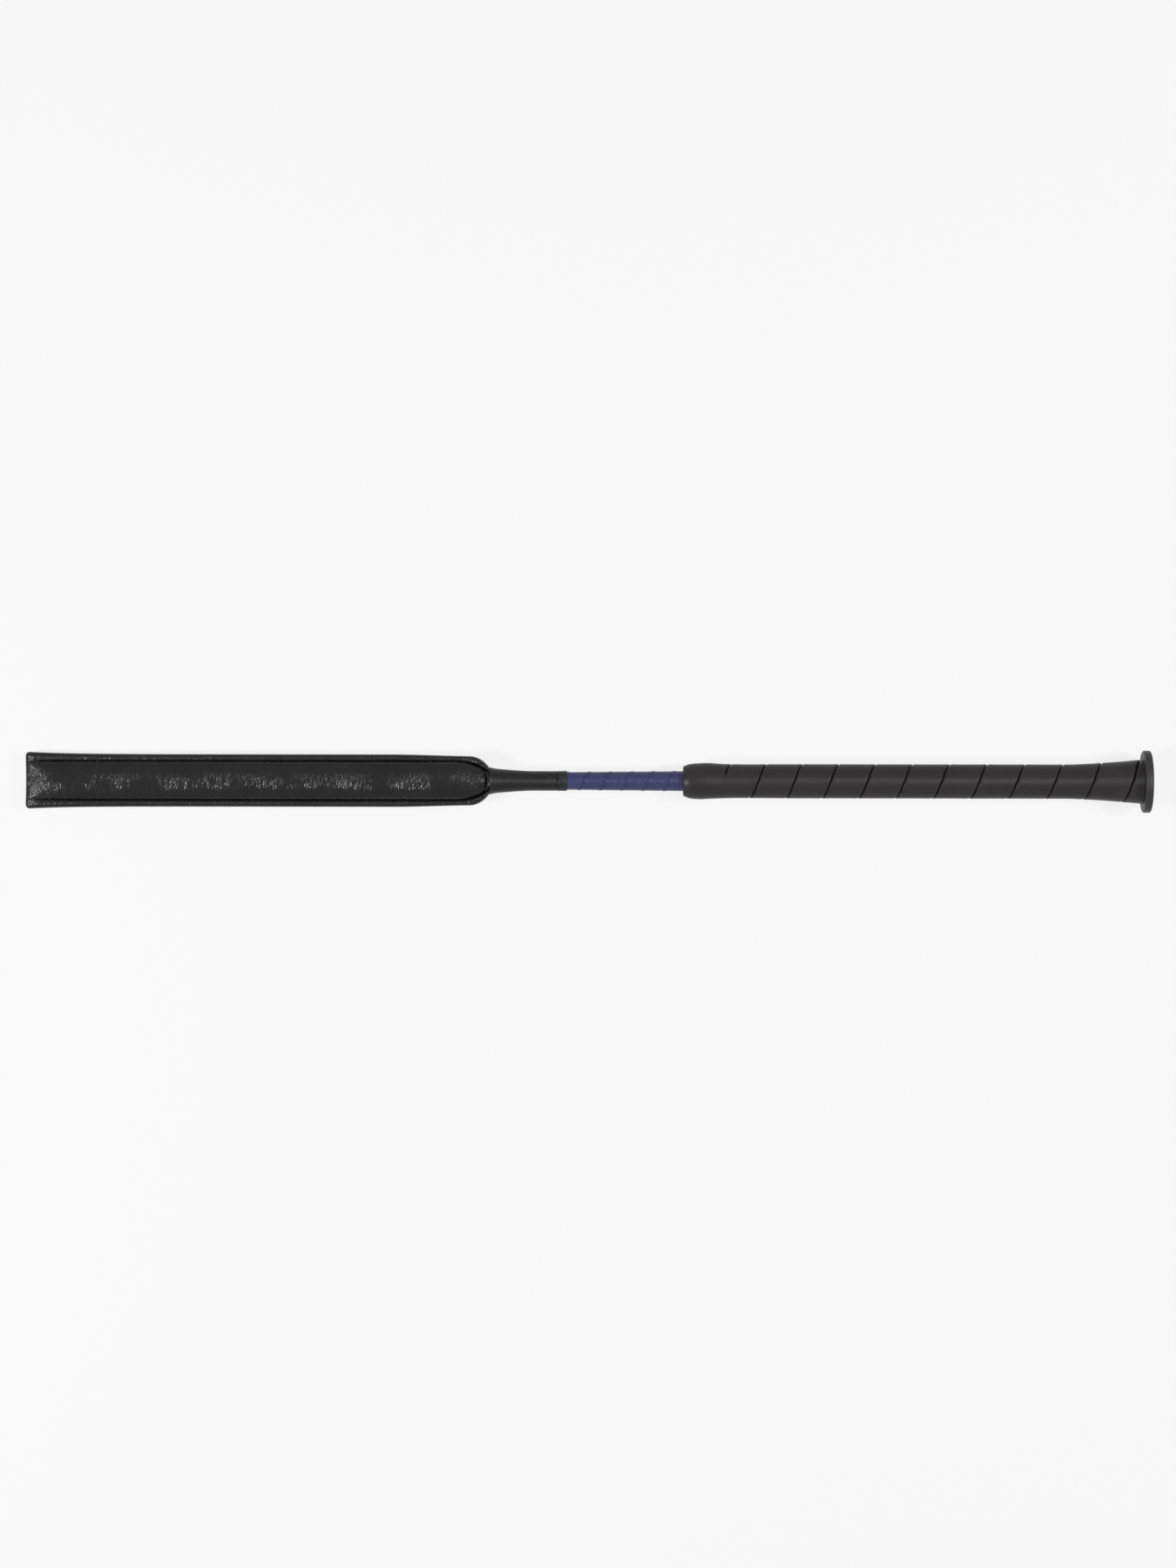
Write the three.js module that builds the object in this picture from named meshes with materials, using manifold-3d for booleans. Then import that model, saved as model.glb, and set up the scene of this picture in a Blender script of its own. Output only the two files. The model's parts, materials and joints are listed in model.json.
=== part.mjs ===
// A padded riding crop, 650 mm long, lying as it is put down on a flat surface.
// Along the crop, x runs from the tip of the flap (0) to the face of the butt cap (CROP_LENGTH);
// y is across the flap and z is square to it, both from the crop's own axis. Millimetres.
import * as THREE from 'three';
import { mergeVertices } from 'three/addons/utils/BufferGeometryUtils.js';
import Module from 'manifold-3d';

const wasm = await Module();
wasm.setup();

// ---- driving dimensions ----------------------------------------------------------------------
const CLEARANCE = 0.3; // between pieces that seat on each other

const CROP_LENGTH = 650;
const FLAP_LENGTH = 268.7; // tip to the first turn of the whipping
const WHIPPING_LENGTH = 39.5;
const BAND_LENGTH = 5;
const BARE_SHAFT_LENGTH = 67.1; // blue tape that shows between band and grip

// flap
const FLAP_HALF_WIDTH = 15.3;
const TIP_WIDENING = 1.25; // added to each side at the very tip
const TIP_WIDENING_REACH = 25;
const TIP_CORNER_RADIUS = 2.3;
const NECK_NARROWING = 1.0; // taken off each side before the shoulder
const SHOULDER_LENGTH = 12.7;
const ROLL_WIDTH = 4.15; // rolled edge outside each seam
const ROOT_PAD_HEIGHT = 7.5; // half thickness of the pad where the rod ends
const NECK_PAD_HEIGHT = 8.2;
const TIP_TAPER = 0.0205; // half thickness lost per mm from there to the tip
const ROLL_HEIGHT = 3.4;
const SEAM_HEIGHT = 1.9;
const TIP_EDGE_HEIGHT = 1.5; // half thickness of the closed end
const TIP_SLOPE_LENGTH = 12;
const LEATHER_THICKNESS = 0.7;
const NECK_LEATHER_THICKNESS = 0.45; // skived where it is bound down
const THINNEST_FOAM = 0.2;
const THREAD_RADIUS = 0.25;
const BEND_X = 97; // the free end of the flap folds here, past the rod
const BEND_HALF_LENGTH = 6;

// rod and what covers it
const ROD_TIP_RADIUS = 2.2;
const ROD_NECK_RADIUS = 3.2;
const ROD_GRIP_RADIUS = 3.95;
const ROD_BUTT_RADIUS = 4.3;
const TIP_CAP_LENGTH = 13;
const TIP_CAP_WALL = 0.8;
const SLEEVE_WALL = 0.7;
const SLEEVE_WALL_AT_NECK = 0.5;
const TAPE_WALL = 0.55;
const WHIPPING_WALL = 0.7;
const WHIPPING_FLARE = 1.7; // follows the leather gathered under it
const WHIPPING_FLARE_LENGTH = 24.2;
const WHIPPING_LIP = 0.75; // the first turns pile up
const WHIPPING_LIP_REACH = 1.5;
const BAND_WALL = 0.5;

// handle
const HANDLE_TUBE_WALL = 1.1;
const GRIP_WALL = 2.2;
const GRIP_MOUTH_GAP = 0.5; // room round the tape where the shaft goes in
const GRIP_MOUTH_WALL = 1.3;
const GRIP_BULGE = 0.6;
const GRIP_BULGE_AT = 13;
const GRIP_NOSE_LENGTH = 8;
const GRIP_FLARE_RADIUS = 12.75;
const GRIP_FLARE_LENGTH = 36;
const GRIP_TAPE_WALL = 0.3;
const CAP_RADIUS = 17.95;
const CAP_THICKNESS = 4;
const CAP_EDGE_RADIUS = 1.2;
const CAP_SPIGOT_LENGTH = 15;

const ROUND_SIDES = 24;
const CHANNEL_SIDES = 20;
const THREAD_SIDES = 8;

// ---- places along the crop -------------------------------------------------------------------
const WHIPPING_X = FLAP_LENGTH;
const BAND_X = WHIPPING_X + WHIPPING_LENGTH + CLEARANCE;
const TAPE_SHOWS_X = BAND_X + BAND_LENGTH;
const GRIP_X = TAPE_SHOWS_X + BARE_SHAFT_LENGTH;
const CAP_X = CROP_LENGTH - CAP_THICKNESS;
const ROOT_X = BEND_X + BEND_HALF_LENGTH;
const TIP_END_X = BEND_X - BEND_HALF_LENGTH;
const ROD_X = ROOT_X + 3;
const ROD_END_X = CAP_X - CAP_SPIGOT_LENGTH - 2;
const SLEEVE_X = WHIPPING_X + 1.3;
const SLEEVE_STEP_X = BAND_X + 1;
const SHOULDER_X = FLAP_LENGTH - SHOULDER_LENGTH;
const FOAM_END_X = SHOULDER_X + 6;

// ---- sizes that follow from these --------------------------------------------------------------
const seamFloor = THREAD_RADIUS + CLEARANCE; // half width of the groove the stitches lie in
const rollHalf = (ROLL_WIDTH - seamFloor) / 2;
const edgeCordRadius = rollHalf - LEATHER_THICKNESS - CLEARANCE;
const whippingRadius = ROD_NECK_RADIUS + CLEARANCE + SLEEVE_WALL_AT_NECK
  + CLEARANCE + NECK_LEATHER_THICKNESS + CLEARANCE + WHIPPING_WALL;
const handleTubeBore = ROD_BUTT_RADIUS + CLEARANCE + SLEEVE_WALL + CLEARANCE;
const handleTubeRadius = handleTubeBore + HANDLE_TUBE_WALL;
const gripTapeRadius = handleTubeRadius + CLEARANCE + GRIP_TAPE_WALL;
const gripBore = gripTapeRadius + CLEARANCE;
const gripRadius = gripBore + GRIP_WALL;

// ---- helpers ---------------------------------------------------------------------------------
const { sin, cos, exp, sqrt, min, max, PI, atan } = Math;
const lerp = THREE.MathUtils.lerp;
const smooth = THREE.MathUtils.smoothstep;

// A body through closed outlines that all have the same number of [y, z] points, one per x.
function loft(xs, outlineAt) {
  const outlines = xs.map(outlineAt);
  const count = outlines[0].length;
  const positions = outlines.flatMap((outline, i) => outline.flatMap(([y, z]) => [xs[i], y, z]));
  const faces = [];
  for (let i = 0; i + 1 < xs.length; i++) {
    for (let j = 0; j < count; j++) {
      const a = i * count + j;
      const b = i * count + ((j + 1) % count);
      faces.push(a, b, b + count, a, b + count, a + count);
    }
  }
  const capFaces = (outline) =>
    THREE.ShapeUtils.triangulateShape(outline.map(([y, z]) => new THREE.Vector2(y, z)), []);
  const last = (xs.length - 1) * count;
  for (const [a, b, c] of capFaces(outlines[0])) faces.push(a, c, b);
  for (const [a, b, c] of capFaces(outlines.at(-1))) faces.push(last + a, last + b, last + c);
  const geometry = new THREE.BufferGeometry();
  geometry.setAttribute('position', new THREE.Float32BufferAttribute(positions, 3));
  geometry.setIndex(faces);
  return geometry;
}

// A body turned about the crop's axis; the [x, radius] profile goes out along the outside, and
// back along the bore or to the axis.
function turned(profile, sides = ROUND_SIDES) {
  const points = profile.map(([x, radius]) => new THREE.Vector2(radius, x));
  return new THREE.LatheGeometry(points, sides).rotateZ(-PI / 2);
}

// A turned sleeve: outer and inner radius as functions of x, at the given places.
function turnedSleeve(xs, outer, inner) {
  const outside = xs.map((x) => [x, outer(x)]);
  const bore = [...xs].reverse().map((x) => [x, inner(x)]);
  return turned([...outside, ...bore, outside[0]]);
}

function cut(geometry, tool) {
  const result = toSolid(geometry).subtract(toSolid(tool));
  return fromSolid(result);
}

function toSolid(geometry) {
  const bare = geometry.clone();
  bare.deleteAttribute('normal');
  bare.deleteAttribute('uv');
  const merged = mergeVertices(bare, 1e-4);
  const index = Array.from(merged.index.array);
  const triangles = [];
  for (let i = 0; i < index.length; i += 3) {
    const [a, b, c] = index.slice(i, i + 3);
    if (a !== b && b !== c && c !== a) triangles.push(a, b, c);
  }
  return new wasm.Manifold(new wasm.Mesh({
    numProp: 3,
    vertProperties: new Float32Array(merged.attributes.position.array),
    triVerts: new Uint32Array(triangles),
  }));
}

function fromSolid(solid) {
  const mesh = solid.getMesh();
  const geometry = new THREE.BufferGeometry();
  geometry.setAttribute('position', new THREE.Float32BufferAttribute(mesh.vertProperties, 3));
  geometry.setIndex(Array.from(mesh.triVerts));
  return geometry;
}

// ---- the flap's outline ----------------------------------------------------------------------
function flapHalfWidth(x) {
  const open = FLAP_HALF_WIDTH + TIP_WIDENING * exp(-x / TIP_WIDENING_REACH)
    - NECK_NARROWING * smooth(x, FLAP_LENGTH - 54, FLAP_LENGTH - 7);
  const corner = max(0, TIP_CORNER_RADIUS - x);
  const rounded = TIP_CORNER_RADIUS - sqrt(TIP_CORNER_RADIUS ** 2 - corner ** 2);
  const along = min(max((x - SHOULDER_X) / SHOULDER_LENGTH, 0), 1);
  const shoulder = (1 - along ** 2.4) ** 0.6;
  return lerp(neckRadius(x), open - rounded, shoulder);
}

function whippedRadius(x) {
  const along = min(max((x - WHIPPING_X) / WHIPPING_FLARE_LENGTH, 0), 1);
  return whippingRadius + WHIPPING_FLARE * (1 - along) ** 1.3;
}

// Outside of the leather where the whipping holds it round.
const neckRadius = (x) => whippedRadius(x) - WHIPPING_WALL - CLEARANCE;

const tipSlope = (x) => (x < TIP_SLOPE_LENGTH ? sqrt(1 - (1 - x / TIP_SLOPE_LENGTH) ** 2) : 1);
const neckRounding = (x) => smooth(x, SHOULDER_X + 1, WHIPPING_X - 0.5);
const leatherThickness = (x) => lerp(LEATHER_THICKNESS, NECK_LEATHER_THICKNESS, neckRounding(x));
const seamOffset = (x) => min(flapHalfWidth(x), FLAP_HALF_WIDTH) - ROLL_WIDTH;
const rollHeight = (x) => lerp(TIP_EDGE_HEIGHT, ROLL_HEIGHT, tipSlope(x));
const seamHeight = (x) => lerp(TIP_EDGE_HEIGHT - 0.2, SEAM_HEIGHT, tipSlope(x));

function padHeight(x) {
  const full = x < ROOT_X
    ? ROOT_PAD_HEIGHT - TIP_TAPER * (ROOT_X - x)
    : lerp(ROOT_PAD_HEIGHT, NECK_PAD_HEIGHT, smooth(x, ROOT_X, SHOULDER_X));
  return lerp(TIP_EDGE_HEIGHT, full, tipSlope(x));
}

const ROLL_STEPS = [0, 45, 90, 135, 180].map(THREE.MathUtils.degToRad);
const PANEL_STEPS = [0, 20, 45, 75, 105, 135, 160, 180].map(THREE.MathUtils.degToRad);

// Upper half of the cross-section, from the +y edge over the top to the -y edge, with the
// surface moved in by `inset`.
function upperOutline(x, inset) {
  const halfWidth = flapHalfWidth(x);
  const seam = seamOffset(x);
  const half = (halfWidth - seam - seamFloor) / 2;
  const roll = ROLL_STEPS.map((angle) => {
    const outside = angle < PI / 2;
    const y = halfWidth - half + (outside ? half - inset : half) * cos(angle);
    const foot = outside ? 0 : seamHeight(x) - inset;
    return [y, foot + (rollHeight(x) - inset - foot) * sin(angle)];
  });
  const panelHalf = seam - seamFloor;
  const foot = seamHeight(x) - inset;
  const panel = PANEL_STEPS.map((angle) => [
    panelHalf * cos(angle), foot + (padHeight(x) - inset - foot) * sin(angle) ** 0.8,
  ]);
  const mirrored = roll.map(([y, z]) => [-y, z]).reverse();
  return roundedToNeck(x, [...roll, ...panel, ...mirrored], inset);
}

// Towards the whipping every point moves to its place on a circle.
function roundedToNeck(x, points, inset) {
  const radius = neckRadius(x) - inset;
  return points.map(([y, z], i) => {
    const angle = (PI * i) / (points.length - 1);
    return [
      lerp(y, radius * cos(angle), neckRounding(x)),
      lerp(z, radius * sin(angle), neckRounding(x)),
    ];
  });
}

// One face of the leather cover; side is +1 for the front and -1 for the back.
function leatherOutline(side) {
  return (x) => {
    const lifted = ([y, z]) => [y, side * max(z, CLEARANCE / 2)];
    const outer = upperOutline(x, 0).map(lifted);
    const inner = upperOutline(x, leatherThickness(x)).map(lifted).reverse();
    const outline = [...outer, ...inner];
    return side > 0 ? outline : outline.reverse();
  };
}

// The pad fills the room between the two seams.
function foamOutline(x) {
  const first = ROLL_STEPS.length;
  const room = upperOutline(x, leatherThickness(x) + CLEARANCE);
  const panel = room.slice(first, first + PANEL_STEPS.length);
  const width = panel[0][0];
  const top = panel.map(([y, z]) => [y * (1 - CLEARANCE / width), max(z, THINNEST_FOAM)]);
  const bottom = top.map(([y, z]) => [y, -z]).reverse();
  return [...top, ...bottom];
}

function tubeOutline(yAt, zAt, radius) {
  return (x) => Array.from({ length: THREAD_SIDES }, (_, i) => {
    const angle = (2 * PI * (i + 0.5)) / THREAD_SIDES;
    return [yAt(x) + radius * cos(angle), zAt(x) + radius * sin(angle)];
  });
}

// ---- rod and its covers ----------------------------------------------------------------------
function rodRadius(x) {
  if (x < WHIPPING_X) return lerp(ROD_TIP_RADIUS, ROD_NECK_RADIUS, (x - ROD_X) / (WHIPPING_X - ROD_X));
  if (x < BAND_X) return ROD_NECK_RADIUS;
  if (x < GRIP_X) return lerp(ROD_NECK_RADIUS, ROD_GRIP_RADIUS, (x - BAND_X) / (GRIP_X - BAND_X));
  return lerp(ROD_GRIP_RADIUS, ROD_BUTT_RADIUS, (x - GRIP_X) / (ROD_END_X - GRIP_X));
}

const sleeveBore = (x) => rodRadius(x) + CLEARANCE;
const sleeveRadius = (x) => sleeveBore(x)
  + lerp(SLEEVE_WALL_AT_NECK, SLEEVE_WALL, smooth(x, SLEEVE_STEP_X, SLEEVE_STEP_X + 2));
const tapeBore = (x) => sleeveRadius(x) + CLEARANCE;
const tapeRadius = (x) => tapeBore(x) + TAPE_WALL;

function coreRod() {
  const chamfer = 0.6;
  const xs = [ROD_X + chamfer, WHIPPING_X, BAND_X, GRIP_X, ROD_END_X - chamfer];
  return turned([
    [ROD_X, 0], [ROD_X, rodRadius(ROD_X) - chamfer],
    ...xs.map((x) => [x, rodRadius(x)]),
    [ROD_END_X, ROD_BUTT_RADIUS - chamfer], [ROD_END_X, 0],
  ]);
}

const tipCapEnd = ROD_X + TIP_CAP_LENGTH - 2;
const tipCapBore = rodRadius(tipCapEnd) + CLEARANCE;
const tipCapRadius = tipCapBore + TIP_CAP_WALL;

// Closed thimble over the end of the rod, so that it can't work through the foam.
function rodTipCap() {
  const start = ROD_X - 2;
  return turned([
    [start, 0], [start, tipCapRadius - 1], [start + 1, tipCapRadius], [tipCapEnd, tipCapRadius],
    [tipCapEnd, tipCapBore], [ROD_X - CLEARANCE, tipCapBore], [ROD_X - CLEARANCE, 0],
  ]);
}

function shaftSleeve() {
  const xs = [SLEEVE_X, SLEEVE_STEP_X, SLEEVE_STEP_X + 1, SLEEVE_STEP_X + 2, GRIP_X, ROD_END_X];
  return turnedSleeve(xs, sleeveRadius, sleeveBore);
}

function shaftTape() {
  return turnedSleeve([SLEEVE_STEP_X + 2, GRIP_X, HANDLE_TUBE_X - 1], tapeRadius, tapeBore);
}

function neckWhipping() {
  const along = [0, 0.8, 2, 4, 8, 13, 18, WHIPPING_FLARE_LENGTH, WHIPPING_LENGTH];
  const outer = (x) => whippedRadius(x) + WHIPPING_LIP * exp(-(x - WHIPPING_X) / WHIPPING_LIP_REACH);
  const inner = (x) => whippedRadius(x) - WHIPPING_WALL;
  return turnedSleeve(along.map((d) => WHIPPING_X + d), outer, inner);
}

function finishingBand() {
  const edge = 0.15;
  const bore = tapeRadius(TAPE_SHOWS_X) + CLEARANCE;
  const xs = [BAND_X, BAND_X + edge, TAPE_SHOWS_X - edge, TAPE_SHOWS_X];
  const radius = bore + BAND_WALL;
  const outer = (x) => (x > BAND_X && x < TAPE_SHOWS_X ? radius : radius - edge);
  return turnedSleeve(xs, outer, () => bore);
}

// ---- handle ----------------------------------------------------------------------------------
const HANDLE_TUBE_X = GRIP_X + GRIP_NOSE_LENGTH + 2;
const gripEndX = CAP_X - CLEARANCE;

function handleTube() {
  const xs = [HANDLE_TUBE_X, gripEndX];
  return turnedSleeve(xs, () => handleTubeRadius, () => handleTubeBore);
}

function gripTape() {
  const xs = [HANDLE_TUBE_X, gripEndX - 2];
  return turnedSleeve(xs, () => gripTapeRadius, () => gripTapeRadius - GRIP_TAPE_WALL);
}

function gripSleeve() {
  const bulge = (d) => GRIP_BULGE * exp(-(((d - GRIP_BULGE_AT) / 9) ** 2));
  const mouth = tapeRadius(GRIP_X) + GRIP_MOUTH_GAP;
  const noseLength = GRIP_NOSE_LENGTH - 2;
  const nose = [0, 0.6, 1.6, 3.4, noseLength].map((d) => {
    const round = sqrt(1 - (1 - d / noseLength) ** 2);
    return [GRIP_X + d, lerp(mouth + GRIP_MOUTH_WALL, gripRadius + bulge(d), round)];
  });
  const body = [9, GRIP_BULGE_AT, 18, 24, 32].map((d) => [GRIP_X + d, gripRadius + bulge(d)]);
  const flareX = gripEndX - GRIP_FLARE_LENGTH;
  const flare = [0, 0.3, 0.55, 0.8, 0.94].map((part) => [
    flareX + part * GRIP_FLARE_LENGTH,
    lerp(gripRadius, GRIP_FLARE_RADIUS, part ** 1.6),
  ]);
  return turned([
    [GRIP_X, mouth], ...nose, ...body, ...flare, [gripEndX, GRIP_FLARE_RADIUS],
    [gripEndX, gripBore], [HANDLE_TUBE_X - CLEARANCE, gripBore],
    [HANDLE_TUBE_X - CLEARANCE, mouth], [GRIP_X, mouth],
  ]);
}

function buttCap() {
  const arc = (centreX, from, to) => [0, 1, 2, 3].map((i) => {
    const angle = lerp(from, to, i / 3);
    return [
      centreX + CAP_EDGE_RADIUS * sin(angle),
      CAP_RADIUS - CAP_EDGE_RADIUS + CAP_EDGE_RADIUS * cos(angle),
    ];
  });
  const spigotRadius = handleTubeBore - CLEARANCE;
  const spigotX = CAP_X - CAP_SPIGOT_LENGTH;
  return turned([
    [spigotX, 0], [spigotX, spigotRadius - 1], [spigotX + 1, spigotRadius], [CAP_X, spigotRadius],
    [CAP_X, GRIP_FLARE_RADIUS + CLEARANCE],
    ...arc(CAP_X + CAP_EDGE_RADIUS, -PI / 2, 0),
    ...arc(CROP_LENGTH - CAP_EDGE_RADIUS, 0, PI / 2),
    [CROP_LENGTH, 0],
  ]);
}

// ---- flap pieces, each made in the three stretches that the fold divides the flap into --------
const STRETCHES = [
  { name: 'tip', from: 0, to: TIP_END_X, xs: [0, 0.3, 1, 2.3, 4.5, 8, 12, 30, 60, TIP_END_X] },
  {
    name: 'bend',
    from: TIP_END_X + CLEARANCE,
    to: ROOT_X - CLEARANCE,
    xs: [TIP_END_X + CLEARANCE, ROOT_X - CLEARANCE],
  },
  {
    name: 'root',
    from: ROOT_X,
    to: BAND_X - CLEARANCE,
    xs: [
      ROOT_X, ROOT_X + 40, ROOT_X + 80, FLAP_LENGTH - 54, FLAP_LENGTH - 30, SHOULDER_X,
      ...[0.3, 0.5, 0.67, 0.8, 0.9, 0.97].map((part) => SHOULDER_X + part * SHOULDER_LENGTH),
      ...[0.03, 0.2, 0.45, 0.7, 1].map((part) => WHIPPING_X + part * WHIPPING_FLARE_LENGTH),
      BAND_X - CLEARANCE,
    ],
  },
];

// The places of a stretch, kept between two limits and including them where they fall inside.
function placesBetween({ from, to, xs }, lowest, highest) {
  const start = max(from, lowest);
  const end = min(to, highest);
  return [start, ...xs.filter((x) => x > start + 0.5 && x < end - 0.5), end];
}

function foam(stretch) {
  const body = loft(placesBetween(stretch, 2.3, FOAM_END_X), foamOutline);
  if (stretch.name !== 'root') return body;
  const pocketEnd = tipCapEnd + CLEARANCE;
  const channelEnd = FOAM_END_X + 1;
  const rodChannel = turned([
    [ROOT_X - 1, 0], [ROOT_X - 1, tipCapRadius + CLEARANCE], [pocketEnd, tipCapRadius + CLEARANCE],
    [pocketEnd, sleeveBore(pocketEnd)], [channelEnd, sleeveBore(channelEnd)], [channelEnd, 0],
  ], CHANNEL_SIDES);
  return cut(body, rodChannel);
}

function edgeCord(stretch, side) {
  const y = (x) => side * (flapHalfWidth(x) - rollHalf);
  return loft(placesBetween(stretch, 6, SHOULDER_X), tubeOutline(y, () => 0, edgeCordRadius));
}

function seamThread(stretch, side, face) {
  const y = (x) => side * seamOffset(x);
  const z = (x) => face * (seamHeight(x) + CLEARANCE + THREAD_RADIUS);
  return loft(placesBetween(stretch, 3, SHOULDER_X), tubeOutline(y, z, THREAD_RADIUS));
}

// ---- materials -------------------------------------------------------------------------------
const material = (color, roughness, metalness = 0) =>
  new THREE.MeshStandardMaterial({ color, roughness, metalness });
const blackLeather = material(0x2b2b2c, 0.5);
const foamGrey = material(0x6a6a68, 0.95);
const whiteCord = material(0xb9b4a6, 0.9);
const blackThread = material(0x232122, 0.8);
const fibreglass = material(0xc9c29a, 0.4);
const greyPlastic = material(0x50504f, 0.5);
const braid = material(0x1d1e22, 0.8);
const blueTape = material(0x484c6e, 0.4);
const blackRubber = material(0x373535, 0.7);
const paperTape = material(0xd6cfb6, 0.8);

// ---- assembly --------------------------------------------------------------------------------
const crop = new THREE.Group();

function add(name, geometry, finish) {
  const mesh = new THREE.Mesh(geometry, finish);
  mesh.name = name;
  crop.add(mesh);
}

add('core_rod', coreRod(), fibreglass);
add('rod_tip_cap', rodTipCap(), greyPlastic);
add('shaft_sleeve', shaftSleeve(), braid);
add('shaft_tape', shaftTape(), blueTape);
add('neck_whipping', neckWhipping(), blackThread);
add('finishing_band', finishingBand(), blackLeather);
add('handle_tube', handleTube(), greyPlastic);
add('grip_tape', gripTape(), paperTape);
add('grip_sleeve', gripSleeve(), blackRubber);
add('butt_cap', buttCap(), blackRubber);

for (const stretch of STRETCHES) {
  add(`flap_foam_${stretch.name}`, foam(stretch), foamGrey);
  for (const [faceName, face] of [['front', 1], ['back', -1]]) {
    add(`${faceName}_leather_${stretch.name}`, loft(stretch.xs, leatherOutline(face)), blackLeather);
    for (const [sideName, side] of [['left', 1], ['right', -1]]) {
      add(`${faceName}_${sideName}_seam_${stretch.name}`, seamThread(stretch, side, face), blackThread);
    }
  }
  for (const [sideName, side] of [['left', 1], ['right', -1]]) {
    add(`${sideName}_edge_cord_${stretch.name}`, edgeCord(stretch, side), whiteCord);
  }
}

// The crop lies on the butt cap's rim and on the belly of the flap, so its axis rises to the cap.
const rimX = CROP_LENGTH - CAP_EDGE_RADIUS;
const belly = STRETCHES.flatMap(({ xs }) => xs).filter((x) => x < SHOULDER_X);
const rise = min(...belly.map((x) => (CAP_RADIUS - padHeight(x)) / (rimX - x)));
crop.rotation.y = -atan(rise);

// Its origin is on the surface, under the middle of its outline.
crop.updateMatrixWorld(true);
const outline = new THREE.Box3().setFromObject(crop, true);
const middle = outline.getCenter(new THREE.Vector3());
crop.position.set(-middle.x, -middle.y, -outline.min.z);

const group = new THREE.Group();
group.add(crop);

export default group;
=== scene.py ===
import json
import math

import bpy
import numpy as np
from mathutils import Matrix, Vector, noise


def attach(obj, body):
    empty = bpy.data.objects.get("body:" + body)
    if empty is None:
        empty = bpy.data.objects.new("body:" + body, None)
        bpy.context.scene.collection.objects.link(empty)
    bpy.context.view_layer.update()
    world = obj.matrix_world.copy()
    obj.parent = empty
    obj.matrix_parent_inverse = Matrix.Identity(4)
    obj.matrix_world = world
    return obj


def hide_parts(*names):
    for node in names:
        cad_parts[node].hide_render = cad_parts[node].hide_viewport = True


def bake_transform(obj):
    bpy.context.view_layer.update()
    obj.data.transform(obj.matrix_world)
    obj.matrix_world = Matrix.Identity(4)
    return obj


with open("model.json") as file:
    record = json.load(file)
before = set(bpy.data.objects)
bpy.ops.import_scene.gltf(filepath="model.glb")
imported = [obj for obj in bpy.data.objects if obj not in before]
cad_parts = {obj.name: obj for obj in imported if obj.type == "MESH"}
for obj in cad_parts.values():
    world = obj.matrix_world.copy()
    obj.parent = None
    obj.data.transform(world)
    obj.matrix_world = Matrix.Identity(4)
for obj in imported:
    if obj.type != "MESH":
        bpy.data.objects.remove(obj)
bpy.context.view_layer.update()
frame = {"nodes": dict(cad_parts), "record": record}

MM = 0.001

# ---- how the crop lies -------------------------------------------------------------------------
# The crop lies on its butt cap and on the belly of its flap, so its own axis rises a little.
# Every piece is modelled along the crop, with x from the flap's tip, y across and z square to
# it, and is then set down with set_in_place.
CROP_LENGTH = 650 * MM
mounts = {mount["name"]: mount for mount in frame["record"]["mounts"]}
butt_centre = Vector(mounts["butt_face"]["pos_m"])
along = Vector(mounts["butt_face"]["axis"]).normalized()
across = Vector((0, 1, 0))
lift = along.cross(across).normalized()
tip_centre = butt_centre - along * CROP_LENGTH
crop_place = Matrix((
    (along.x, across.x, lift.x, tip_centre.x),
    (along.y, across.y, lift.y, tip_centre.y),
    (along.z, across.z, lift.z, tip_centre.z),
    (0, 0, 0, 1),
))


def set_in_place(piece, name, material, body="crop"):
    """Names a finished piece, gives it its material, and sets it down in the row frame."""
    piece.name = name
    piece.data.name = name
    piece.data.transform(crop_place)
    piece.data.materials.clear()
    piece.data.materials.append(material)
    if body:
        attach(piece, body)
    return piece


# ---- floor, light and camera -------------------------------------------------------------------
# A pale floor that fades into the same pale background, a soft lamp at each end of the crop and a
# weak one above it, even light from all round, and a camera straight above, 2.1 m up.
CAMERA_HEIGHT = 2112 * MM
CAMERA_LENS = 83.35
CAMERA_ALONG = 325.6 * MM
CAMERA_ACROSS = -1.75 * MM
CAMERA_ROLL = math.radians(0.085)
PALE = (0.913, 0.913, 0.913, 1)
ROUND_LIGHT = 0.16
FLOOR_GLOW = 0.88
LAMPS = {
    "tip_end_lamp": {"place": (-1.35, -0.30, 1.30), "size": (0.28, 0.28), "power": 28},
    "butt_end_lamp": {"place": (1.35, 0.05, 1.35), "size": (0.28, 0.28), "power": 20},
    "upper_lamp": {"place": (0.42, 0.12, 2.4), "size": (1.1, 0.12), "power": 12},
}


def pale_rays(tree):
    """1 for the rays that see the pale backdrop: camera, glossy and transmission rays."""
    path = tree.nodes.new("ShaderNodeLightPath")
    shiny = tree.nodes.new("ShaderNodeMath")
    shiny.operation = "MAXIMUM"
    seen = tree.nodes.new("ShaderNodeMath")
    seen.operation = "MAXIMUM"
    tree.links.new(path.outputs["Is Glossy Ray"], shiny.inputs[0])
    tree.links.new(path.outputs["Is Transmission Ray"], shiny.inputs[1])
    tree.links.new(path.outputs["Is Camera Ray"], seen.inputs[0])
    tree.links.new(shiny.outputs[0], seen.inputs[1])
    return seen.outputs[0]


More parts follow.
